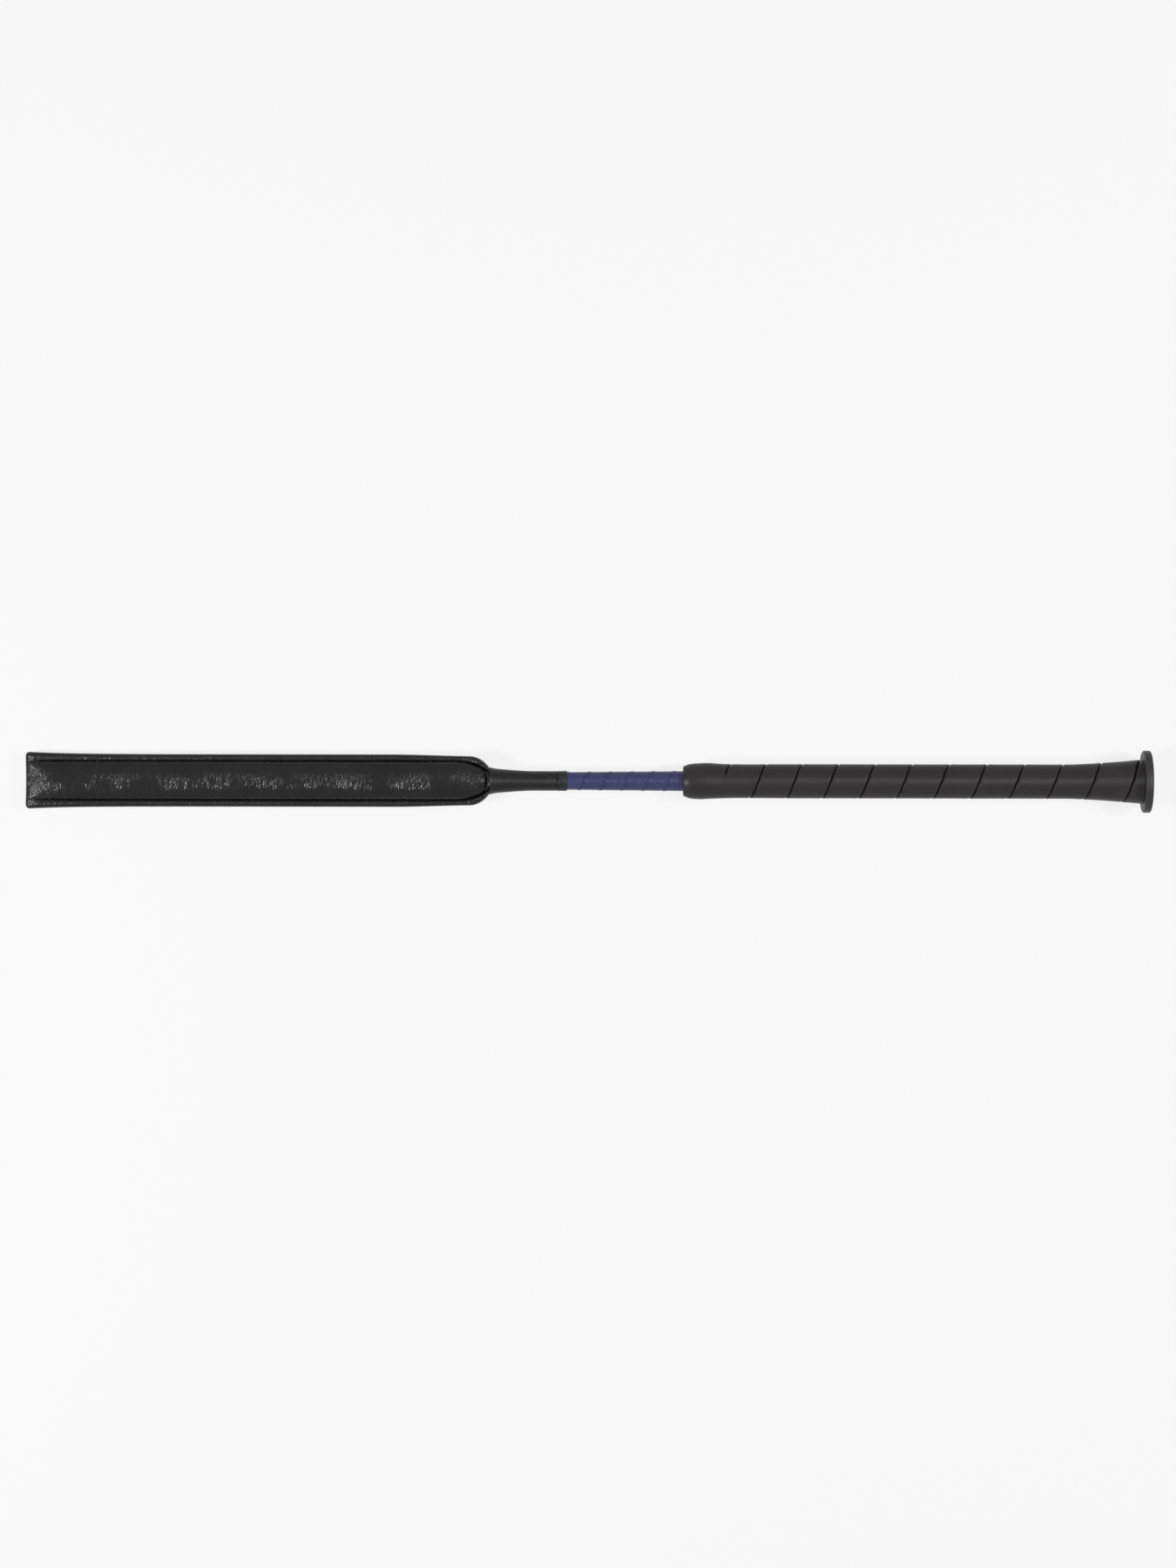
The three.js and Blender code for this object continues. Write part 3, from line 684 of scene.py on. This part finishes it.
stitch_count = int((FLAP_LENGTH - SHOULDER + 4 * MM - STITCH_START) / STITCH_PITCH)
for face_name, face in (("front", 1), ("back", -1)):
    for side_name, side in (("left", 1), ("right", -1)):
        copies = []
        for i in range(stitch_count):
            x = STITCH_START + (i + 0.5) * STITCH_PITCH
            low = float(seam_height(x)) - STITCH_SINK + STITCH_RADIUS / 2
            copy = stitch.copy()
            copy.data = stitch.data.copy()
            ahead = float(seam_y(x + 1 * MM) - seam_y(x - 1 * MM)) / (2 * MM)
            turn = Matrix.Rotation(math.atan(side * ahead), 4, "Z")
            copy.data.transform(Matrix.Translation((x, side * float(seam_y(x)), face * low)) @ turn)
            bpy.context.collection.objects.link(copy)
            copies.append(copy)
        bpy.ops.object.select_all(action="DESELECT")
        for copy in copies:
            copy.select_set(True)
        bpy.context.view_layer.objects.active = copies[0]
        bpy.ops.object.join()
        seam = bpy.context.object
        shade_smooth(seam)
        set_in_place(seam, f"{face_name}_{side_name}_stitches", thread, body=None)
        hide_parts(*[f"{face_name}_{side_name}_seam_{part}" for part in STRETCHES])
        bend_with_flap(seam)
bpy.data.objects.remove(stitch)

# ---- neck whipping -------------------------------------------------------------------------------
# Waxed black thread, wound in close turns over the gathered leather and on down to the shaft. The
# first turns pile up against the flap. The thread lies on a core of earlier turns.
WHIPPING_START = FLAP_LENGTH
WHIPPING_LENGTH = 40.3 * MM
WHIPPING_PITCH = 0.62 * MM
WHIPPING_THREAD = 0.33 * MM
THREAD_PRESSED = 0.06 * MM  # the thread is pressed flat by its tension
CORE_DEPTH = 0.055 * MM
CORE_WALL = 0.9 * MM
THREAD_UNEVEN = 0.07 * MM
WHIPPING_RADIUS = 5.72 * MM
WHIPPING_FLARE = 1.7 * MM
WHIPPING_LIP = 0.75 * MM
TURN_STEPS = 40
HAND = -1  # tape, thread and grip all spiral the same way round


def whipping_radius(x):
    part = min(max((x - WHIPPING_START) / GATHER_LENGTH, 0), 1)
    piled = WHIPPING_LIP * math.exp(-max(x - WHIPPING_START, 0) / (1.5 * MM))
    return WHIPPING_RADIUS + WHIPPING_FLARE * (1 - part) ** 1.3 + piled


def edit_all(piece):
    """Goes into edit mode on a piece, with all of it selected."""
    bpy.context.view_layer.objects.active = piece
    bpy.ops.object.mode_set(mode="EDIT")
    bpy.ops.mesh.select_all(action="SELECT")


def drawn_outline(points, closed=False):
    """A chain of edges through (x, radius) points, drawn by extruding one point after another."""
    bpy.ops.object.select_all(action="DESELECT")
    bpy.ops.mesh.primitive_plane_add(size=0.2 * MM, location=(points[0][0], 0, points[0][1]))
    piece = bpy.context.object
    bpy.ops.object.transform_apply(location=True)
    edit_all(piece)
    bpy.ops.mesh.merge(type="CENTER")
    chain = points + [points[0]] if closed else points
    for (x0, r0), (x1, r1) in zip(chain, chain[1:]):
        bpy.ops.mesh.extrude_region_move(TRANSFORM_OT_translate={"value": (x1 - x0, 0, r1 - r0)})
    bpy.ops.mesh.select_all(action="SELECT")
    bpy.ops.mesh.remove_doubles(threshold=1e-7)
    bpy.ops.object.mode_set(mode="OBJECT")
    return piece


def wind(piece, pitch, turns, steps):
    """Winds an outline into a spiral about the crop's axis."""
    screw = piece.modifiers.new("wind", "SCREW")
    screw.axis = "X"
    screw.angle = HAND * 2 * math.pi
    screw.screw_offset = pitch
    screw.iterations = turns
    screw.steps = steps
    screw.render_steps = steps
    screw.use_merge_vertices = False
    bpy.context.view_layer.objects.active = piece
    bpy.ops.object.modifier_apply(modifier="wind")
    edit_all(piece)
    bpy.ops.mesh.remove_doubles(threshold=1e-6)
    bpy.ops.object.mode_set(mode="OBJECT")


def close_and_face_out(piece):
    edit_all(piece)
    bpy.ops.mesh.fill_holes(sides=0)
    bpy.ops.mesh.select_all(action="SELECT")
    bpy.ops.mesh.normals_make_consistent(inside=False)
    bpy.ops.object.mode_set(mode="OBJECT")


def move_out(piece, change):
    """Moves each point of a spiral or turned piece out from the axis, by change(x, turn, radius)."""
    for vertex in piece.data.vertices:
        radius = math.hypot(vertex.co.y, vertex.co.z)
        if radius < 1e-6:
            continue
        grown = 1 + change(vertex.co.x, math.atan2(vertex.co.y, vertex.co.z), radius) / radius
        vertex.co.y *= grown
        vertex.co.z *= grown


def turned(outline, steps=64):
    """A piece turned about the crop's axis from its (x, radius) outline."""
    piece = drawn_outline(outline)
    edit_all(piece)
    bpy.ops.mesh.spin(steps=steps, angle=2 * math.pi, center=(0, 0, 0), axis=(1, 0, 0))
    bpy.ops.mesh.select_all(action="SELECT")
    bpy.ops.mesh.remove_doubles(threshold=1e-6)
    bpy.ops.mesh.select_all(action="SELECT")
    bpy.ops.mesh.normals_make_consistent(inside=False)
    bpy.ops.object.mode_set(mode="OBJECT")
    return piece


thread_section = [
    (WHIPPING_START + WHIPPING_PITCH / 2 + WHIPPING_THREAD * math.cos(angle),
     WHIPPING_RADIUS - THREAD_PRESSED + THREAD_PRESSED * math.sin(angle))
    for angle in np.radians(np.arange(0, 360, 45))
]
whipping = drawn_outline(thread_section, closed=True)
wind(whipping, WHIPPING_PITCH, int(WHIPPING_LENGTH / WHIPPING_PITCH) - 1, TURN_STEPS)


def thread_place(x, turn, radius):
    uneven = noise.noise(Vector((x / MM * 0.8, 2 * math.sin(turn), 2 * math.cos(turn))))
    return whipping_radius(x) - WHIPPING_RADIUS + THREAD_UNEVEN * uneven


move_out(whipping, thread_place)
core_places = [WHIPPING_START + part * WHIPPING_LENGTH
               for part in (0.005, 0.02, 0.05, 0.1, 0.2, 0.35, 0.5, 0.65, 0.995)]
core_outside = [(x, whipping_radius(x) - CORE_DEPTH) for x in core_places]
core_bore = [(x, whipping_radius(x) - CORE_WALL) for x in reversed(core_places)]
whipping_core = turned(core_outside + core_bore + core_outside[:1])
close_and_face_out(whipping)
whipping_core.select_set(True)
whipping.select_set(True)
bpy.context.view_layer.objects.active = whipping
bpy.ops.object.join()
shade_smooth(whipping)

waxed, tree, shader, bump = new_material("waxed_black_thread", (0.011, 0.0105, 0.0108), 0.45, 0.25)
plies = texture(tree, "Wave", object_place(tree, (0.55, 1, 1)), Scale=620.0, Distortion=0.8,
                bands_direction="DIAGONAL")
tree.links.new(plies.outputs["Fac"], bump.inputs["Height"])
bump.inputs["Distance"].default_value = 0.02 * MM
marks = place_group(tree, handling, Color=(0.0050, 0.0047, 0.0048, 1), Dust=(0.020, 0.019, 0.019, 1),
                    Amount=0.5, Scale=160.0, Roughness=0.33, Spread=0.2)
tree.links.new(object_place(tree), marks.inputs["Vector"])
tree.links.new(marks.outputs["Color"], shader.inputs["Base Color"])
tree.links.new(marks.outputs["Roughness"], shader.inputs["Roughness"])
set_in_place(whipping, "neck_whipping_thread", waxed)
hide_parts("neck_whipping")

# ---- finishing band ------------------------------------------------------------------------------
# A short smooth black band, shrunk on over the end of the whipping and the start of the tape.
BAND_START = 308.5 * MM
BAND_END = 313.5 * MM
BAND_RADIUS = 5.82 * MM
BAND_WALL = 0.45 * MM
BAND_EDGE = 0.2 * MM

band_outline = [
    (BAND_START, BAND_RADIUS - BAND_WALL),
    (BAND_START, BAND_RADIUS - BAND_EDGE),
    (BAND_START + BAND_EDGE * 0.3, BAND_RADIUS - BAND_EDGE * 0.3),
    (BAND_START + BAND_EDGE, BAND_RADIUS),
    (BAND_START + 1.4 * MM, BAND_RADIUS - 0.05 * MM),
    (BAND_START + 2.6 * MM, BAND_RADIUS - 0.02 * MM),
    (BAND_END - BAND_EDGE, BAND_RADIUS),
    (BAND_END - BAND_EDGE * 0.3, BAND_RADIUS - BAND_EDGE * 0.3),
    (BAND_END, BAND_RADIUS - BAND_EDGE),
    (BAND_END, BAND_RADIUS - BAND_WALL),
    (BAND_START, BAND_RADIUS - BAND_WALL),
]
band = turned(band_outline, 72)
move_out(band, lambda x, turn, radius: 0.05 * MM * noise.noise(
    Vector((x / MM * 0.5, 1.5 * math.sin(turn), 1.5 * math.cos(turn)))))
shade_smooth(band, 40)
band_skin, tree, shader, bump = new_material("smooth_black_band", (0.012, 0.014, 0.012), 0.36, 0.25)
finish_surface(tree, shader, bump, object_place(tree), (0.0078, 0.0086, 0.0082), 0.38, 1500.0, 0.02 * MM,
               dust=(0.04, 0.045, 0.043), dust_amount=0.4, cloud_scale=220.0, spread=0.06)
set_in_place(band, "finishing_band_skin", band_skin)
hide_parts("finishing_band")

# ---- blue shaft tape -----------------------------------------------------------------------------
# Satin blue plastic tape, wound in one spiral over the braided shaft. Each turn laps 1.5 mm
# over the one before, and the pull of winding leaves fine creases along it.
TAPE_START = 310 * MM
TAPE_SHOWS_FROM = BAND_END
TAPE_END_LIMIT = 391 * MM
TAPE_PITCH = 12.3 * MM
TAPE_LAP = 1.5 * MM
TAPE_RADIUS = 4.98 * MM
TAPE_GROWTH = 0.0095  # the shaft thickens towards the grip
TAPE_FIRST_LAP = 322.9 * MM - 3 * TAPE_PITCH
TAPE_TURNS = 9
LAP_LINE = 0.28 * MM

tape_outline = [
    (TAPE_FIRST_LAP - 0.05 * MM, TAPE_RADIUS + 0.18 * MM),
    (TAPE_FIRST_LAP, TAPE_RADIUS + 0.34 * MM),
    (TAPE_FIRST_LAP + 0.3 * MM, TAPE_RADIUS + 0.37 * MM),
    (TAPE_FIRST_LAP + TAPE_LAP * 0.8, TAPE_RADIUS + 0.34 * MM),
    (TAPE_FIRST_LAP + TAPE_LAP * 1.0, TAPE_RADIUS + 0.28 * MM),
    (TAPE_FIRST_LAP + TAPE_LAP * 1.15, TAPE_RADIUS + 0.19 * MM),
    (TAPE_FIRST_LAP + TAPE_LAP * 1.4, TAPE_RADIUS + 0.16 * MM),
    *[(TAPE_FIRST_LAP + TAPE_PITCH * part, TAPE_RADIUS + 0.15 * MM)
      for part in (0.3, 0.45, 0.6, 0.75, 0.9)],
    (TAPE_FIRST_LAP + TAPE_PITCH + TAPE_LAP * 0.98, TAPE_RADIUS + 0.14 * MM),
    (TAPE_FIRST_LAP + TAPE_PITCH + TAPE_LAP * 0.98, TAPE_RADIUS + 0.01 * MM),
    (TAPE_FIRST_LAP + TAPE_LAP * 1.5, TAPE_RADIUS + 0.02 * MM),
    (TAPE_FIRST_LAP + TAPE_LAP * 1.02, TAPE_RADIUS + 0.16 * MM),
]
tape = drawn_outline(tape_outline, closed=True)
wind(tape, TAPE_PITCH, TAPE_TURNS, 72)

# Painted shade for the two lines of each lap, where each step would throw a thin shadow: the tape's own
# edge, and the edge that shows through it.
painted_lap_shade = tape.data.attributes.new("painted_lap_shade", "FLOAT", "POINT")
for vertex in tape.data.vertices:
    turn = math.atan2(vertex.co.y, vertex.co.z) / (2 * math.pi)
    past_edge = ((vertex.co.x - TAPE_FIRST_LAP) / TAPE_PITCH - turn + 0.02) % 1 - 0.02
    past_edge *= TAPE_PITCH
    edge_line = math.exp(-(past_edge / LAP_LINE) ** 2)
    under_line = math.exp(-((past_edge - 1.1 * TAPE_LAP) / LAP_LINE) ** 2)
    painted_lap_shade.data[vertex.index].value = edge_line + 0.7 * under_line


def tape_place(x, turn, radius):
    spot = Vector((x / MM * 0.16, 5.2 * math.sin(turn) * 0.4, 5.2 * math.cos(turn) * 0.4))
    crinkle = abs(noise.noise(spot * 1.9 + Vector((3, 5, 7)))) * 0.05 + 0.05 * noise.noise(spot)
    return TAPE_GROWTH * (x - TAPE_SHOWS_FROM) + crinkle * MM


move_out(tape, tape_place)
edit_all(tape)
for place, normal in ((TAPE_START, (-1, 0, 0)), (TAPE_END_LIMIT, (1, 0, 0))):
    bpy.ops.mesh.select_all(action="SELECT")
    bpy.ops.mesh.bisect(plane_co=(place, 0, 0), plane_no=normal, clear_outer=True, use_fill=False)
bpy.ops.object.mode_set(mode="OBJECT")
close_and_face_out(tape)
shade_smooth(tape, 35)

blue, tree, shader, bump = new_material("satin_blue_tape", (0.031, 0.034, 0.098), 0.32, 0.26)
vector = object_place(tree)
creases = texture(tree, "Noise", object_place(tree, (1, 1.5, 1.5)), Scale=330.0, Detail=3.0,
                  Roughness=0.6)
ridges = math_node(tree, "ABSOLUTE", math_node(tree, "SUBTRACT", creases.outputs[0], 0.5))
grain, marks = finish_surface(tree, shader, bump, vector, (0.0265, 0.0283, 0.093), 0.20, 1600.0, 1 * MM,
                              dust=(0.06, 0.067, 0.15), dust_amount=0.9, cloud_scale=190.0, spread=0.2)
# The lap lines darken the tape's colour: painted shade along each lap's step.
lines = tree.nodes.new("ShaderNodeAttribute")
lines.attribute_name = "painted_lap_shade"
breaks = texture(tree, "Noise", vector, Scale=260.0, Detail=2.0)
lap_shade_share = math_node(tree, "MULTIPLY", lines.outputs["Fac"],
                       math_node(tree, "MULTIPLY", breaks.outputs[0], 1.5), clamp=True)
tree.links.new(mix_colors(tree, lap_shade_share, marks.outputs["Color"], (0.010, 0.011, 0.04)),
               shader.inputs["Base Color"])
height = math_node(tree, "ADD", math_node(tree, "MULTIPLY", ridges, -0.5),
                   math_node(tree, "MULTIPLY", grain.outputs["Height"], 0.015))
tree.links.new(height, bump.inputs["Height"])
set_in_place(tape, "shaft_tape_winding", blue)
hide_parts("shaft_tape")

# ---- rubber grip ---------------------------------------------------------------------------------
# One moulded sleeve of matt black rubber, pushed on over the build-up tube. A spiral groove is
# moulded into it from behind the swelling at its front to the flare at its back.
GRIP_START = 380.6 * MM
GRIP_END = 645.5 * MM
GRIP_RADIUS = 9.9 * MM
GRIP_MOUTH = 6.35 * MM
GRIP_BORE = 7.6 * MM
MOUTH_DEPTH = 9.9 * MM
GROOVE_PITCH = 20.49 * MM
GROOVE_GROWTH = 0.082 * MM  # each turn of the groove is a little longer than the last
GROOVE_START = 403.4 * MM
GROOVE_HALF_WIDTH = 0.6 * MM
GROOVE_DEPTH = 1.35 * MM
BULGE = 0.66 * MM
BULGE_AT = 12.5 * MM
BULGE_SWING = 3.2 * MM  # the swelling's back edge slants round the grip
GRIP_WAIST = 0.12 * MM
GRIP_WAIST_AT = 36 * MM
GRIP_WAIST_REACH = 14 * MM
NOSE_LENGTH = 7 * MM
NOSE_DROP = 1.75 * MM
FLARE_RADIUS = 12.8 * MM
FLARE_LENGTH = 44 * MM
NOSE_CUT = 3.2 * MM
GRIP_STEPS = 96
GRIP_TURNS = 15

lip = 0.06 * MM
groove_outline = [
    (0.0, -GROOVE_DEPTH),
    (0.3 * GROOVE_HALF_WIDTH, -0.88 * GROOVE_DEPTH),
    (0.7 * GROOVE_HALF_WIDTH, -0.55 * GROOVE_DEPTH),
    (1.0 * GROOVE_HALF_WIDTH, -0.2 * GROOVE_DEPTH),
    (1.2 * GROOVE_HALF_WIDTH, -0.07 * GROOVE_DEPTH),
    (1.6 * GROOVE_HALF_WIDTH, 0.0),
    (2.4 * GROOVE_HALF_WIDTH, lip),
    (3.6 * GROOVE_HALF_WIDTH, lip * 0.6),
]
middle = [(x, 0.0) for x in np.linspace(4.0 * MM, GROOVE_PITCH - 4.0 * MM, 9)]
mirrored = [(GROOVE_PITCH - x, depth) for x, depth in reversed(groove_outline)]
first_turn = GROOVE_START - 2 * GROOVE_PITCH
outline = [(first_turn + float(x), GRIP_RADIUS + depth)
           for x, depth in groove_outline + middle + mirrored]
grip = drawn_outline(outline)
wind(grip, GROOVE_PITCH, GRIP_TURNS, GRIP_STEPS)
for vertex in grip.data.vertices:
    wound = (vertex.co.x - GROOVE_START) / GROOVE_PITCH
    vertex.co.x += GROOVE_GROWTH * wound ** 2


def grip_profile(x, turn):
    """Radius of the grip where the groove isn't, at its front swelling and back flare."""
    front = x - GRIP_START
    swing = BULGE_SWING * math.sin(turn)
    spread = 8.5 * MM if front < BULGE_AT else 9.5 * MM
    swelling = BULGE * math.exp(-((front - BULGE_AT - 0.3 * swing) / spread) ** 2)
    if front > BULGE_AT + swing:
        swelling *= 1 - 0.35 * float(smooth(front, BULGE_AT + swing, BULGE_AT + swing + 7 * MM))
    waist = -GRIP_WAIST * math.exp(-((front - GRIP_WAIST_AT) / GRIP_WAIST_REACH) ** 2)
    nose = 1 - (1 - min(max(front / NOSE_LENGTH, 0), 1)) ** 2
    nose_drop = NOSE_DROP * (1 - math.sqrt(max(nose, 0)))
    back = min(max((x - GRIP_END + FLARE_LENGTH) / FLARE_LENGTH, 0), 1)
    flare = (FLARE_RADIUS - GRIP_RADIUS) * back ** 1.45
    return swelling + waist - nose_drop + flare


def grip_place(x, turn, radius):
    depth = radius - GRIP_RADIUS
    cut_in = float(smooth(x, GROOVE_START + 0.03 * GROOVE_PITCH, GROOVE_START + 0.10 * GROOVE_PITCH))
    deeper = 1 + 0.2 * float(smooth(x, 600 * MM, 640 * MM))
    uneven = 0.04 * MM * noise.noise(Vector((x / MM * 0.05, 1.2 * math.sin(turn), 1.2 * math.cos(turn))))
    return grip_profile(x, turn) + depth * (cut_in * deeper - 1) + uneven


move_out(grip, grip_place)
edit_all(grip)


def cut_square(place, outward):
    """Cuts the piece square to the crop and leaves the cut's edge selected."""
    bpy.ops.mesh.select_all(action="SELECT")
    bpy.ops.mesh.bisect(plane_co=(place, 0, 0), plane_no=(outward, 0, 0), clear_outer=True)


def carry_edge(x, scale, x_before):
    """Carries the selected edge on to another place and radius."""
    bpy.ops.mesh.extrude_region_move(TRANSFORM_OT_translate={"value": (x - x_before, 0, 0)})
    bpy.ops.transform.resize(value=(1, scale, scale), center_override=(0, 0, 0))


cut_square(GRIP_END, 1)
cut_square(GRIP_START + NOSE_CUT, -1)
edge_x = GRIP_START + NOSE_CUT
edge_radius = GRIP_RADIUS - 0.15 * MM
nose_steps = [
    (1.9 * MM, 9.26 * MM), (1.0 * MM, 8.92 * MM), (0.4 * MM, 8.6 * MM), (0.1 * MM, 8.3 * MM),
    (0.0, 7.9 * MM), (0.0, 6.85 * MM), (0.15 * MM, 6.5 * MM), (0.6 * MM, GRIP_MOUTH),
    (MOUTH_DEPTH, GRIP_MOUTH), (MOUTH_DEPTH, GRIP_BORE), (GRIP_END - GRIP_START, GRIP_BORE),
]
for ahead, radius in nose_steps:
    next_x = GRIP_START + ahead
    carry_edge(next_x, radius / edge_radius, edge_x)
    edge_x = next_x
    edge_radius = radius
bpy.ops.mesh.select_all(action="DESELECT")
bpy.ops.mesh.select_non_manifold(extend=False, use_wire=False, use_boundary=True,
                                 use_multi_face=False, use_non_contiguous=False, use_verts=False)
bpy.ops.mesh.bridge_edge_loops()
bpy.ops.mesh.select_all(action="SELECT")
bpy.ops.mesh.remove_doubles(threshold=1e-6)
bpy.ops.object.mode_set(mode="OBJECT")
close_and_face_out(grip)
shade_smooth(grip, 50)

rubber, tree, shader, bump = new_material("matt_black_rubber", (0.030, 0.0285, 0.0285), 0.55, 0.18)
vector = object_place(tree)
finish_surface(tree, shader, bump, vector, (0.0165, 0.0148, 0.0148), 0.38, 3200.0, 0.014 * MM,
               dust=(0.045, 0.044, 0.042), dust_amount=0.4, cloud_scale=38.0, spread=0.12)
set_in_place(grip, "grip_rubber_sleeve", rubber)
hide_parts("grip_sleeve")

# ---- butt cap ------------------------------------------------------------------------------------
# A round disc moulded in one piece with the plug that holds it in the end of the tube. Its rim is
# rounded, and a fine parting line runs round it.
CAP_INNER = 645.6 * MM
CAP_RADIUS = 17.93 * MM
CAP_ROUND = 0.8 * MM
PLUG_RADIUS = 5.3 * MM
PLUG_START = 631 * MM


def rim_arc(centre_x, start, end, count=7):
    return [(centre_x + CAP_ROUND * math.sin(math.radians(angle)),
             CAP_RADIUS - CAP_ROUND + CAP_ROUND * math.cos(math.radians(angle)))
            for angle in np.linspace(start, end, count)]


parting = CAP_INNER + 2.2 * MM
cap_outline = [
    (PLUG_START, 0.0), (PLUG_START, PLUG_RADIUS - 1 * MM), (PLUG_START + 1 * MM, PLUG_RADIUS),
    (CAP_INNER, PLUG_RADIUS), (CAP_INNER, 12.9 * MM), (CAP_INNER + 0.12 * MM, 13.3 * MM),
    (CAP_INNER + 0.05 * MM, 15.2 * MM),
    *rim_arc(CAP_INNER + CAP_ROUND, -90, 0),
    (parting - 0.08 * MM, CAP_RADIUS), (parting, CAP_RADIUS + 0.02 * MM),
    (parting + 0.08 * MM, CAP_RADIUS),
    *rim_arc(CROP_LENGTH - CAP_ROUND, 0, 90),
    (CROP_LENGTH, 12 * MM), (CROP_LENGTH - 0.35 * MM, 11 * MM), (CROP_LENGTH - 0.35 * MM, 0.0),
]
cap = turned(cap_outline, 128)
shade_smooth(cap, 40)
cap_rubber, tree, shader, bump = new_material("moulded_cap_rubber", (0.034, 0.032, 0.031), 0.5, 0.24)
finish_surface(tree, shader, bump, object_place(tree), (0.0200, 0.0188, 0.0184), 0.45, 2600.0, 0.02 * MM,
               dust=(0.06, 0.058, 0.056), dust_amount=0.5, cloud_scale=60.0, spread=0.15)
set_in_place(cap, "butt_cap_disc", cap_rubber)
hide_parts("butt_cap")

# ---- rod, its thimble and its braided sleeve -----------------------------------------------------
# Drawn glass fibre with its fibres lengthwise, a plastic thimble over its end in the flap, and a
# tight polyester braid over it. They lie inside and are shown as the frame has them.


def refinish(node_name, material):
    node = frame["nodes"][node_name]
    node.data.materials.clear()
    node.data.materials.append(material)


glass_fibre, tree, shader, bump = new_material("drawn_glass_fibre", (0.5, 0.46, 0.28), 0.4)
fibres = texture(tree, "Noise", object_place(tree, (0.02, 1, 1)), Scale=2600.0, Detail=3.0)
tree.links.new(mix_colors(tree, fibres.outputs[0], (0.40, 0.36, 0.20), (0.62, 0.58, 0.38)),
               shader.inputs["Base Color"])
tree.links.new(fibres.outputs[0], bump.inputs["Height"])
bump.inputs["Distance"].default_value = 0.05 * MM
refinish("core_rod", glass_fibre)

grey_plastic, tree, shader, bump = new_material("plain_grey_plastic", (0.08, 0.08, 0.078), 0.5)
finish_surface(tree, shader, bump, object_place(tree), (0.08, 0.08, 0.078), 0.5, 1500.0, 0.03 * MM)
refinish("rod_tip_cap", grey_plastic)
refinish("handle_tube", grey_plastic)

braid, tree, shader, bump = new_material("black_polyester_braid", (0.013, 0.014, 0.018), 0.7)
strands = [
    texture(tree, "Wave", object_place(tree, (1, lean, 1)), Scale=330.0, bands_direction="DIAGONAL")
    for lean in (1.0, -1.0)
]
crossing = math_node(tree, "MAXIMUM", strands[0].outputs["Fac"], strands[1].outputs["Fac"])
tree.links.new(crossing, bump.inputs["Height"])
bump.inputs["Distance"].default_value = 0.15 * MM
# Painted shade: the colour follows the strands' height, darker where they dip between crossings.
tree.links.new(mix_colors(tree, crossing, (0.006, 0.006, 0.008), (0.020, 0.021, 0.026)),
               shader.inputs["Base Color"])
refinish("shaft_sleeve", braid)

# ---- grip tape -----------------------------------------------------------------------------------
# Double-sided paper tape, wound on the build-up tube to hold the rubber.
paper, tree, shader, bump = new_material("double_sided_paper_tape", (0.6, 0.55, 0.42), 0.85)
laps = texture(tree, "Wave", object_place(tree), Scale=12.0, Distortion=0.3, bands_direction="X")
finish_surface(tree, shader, bump, object_place(tree), (0.6, 0.55, 0.42), 0.85, 1300.0, 0.05 * MM)
tree.links.new(laps.outputs["Fac"], bump.inputs["Height"])
refinish("grip_tape", paper)
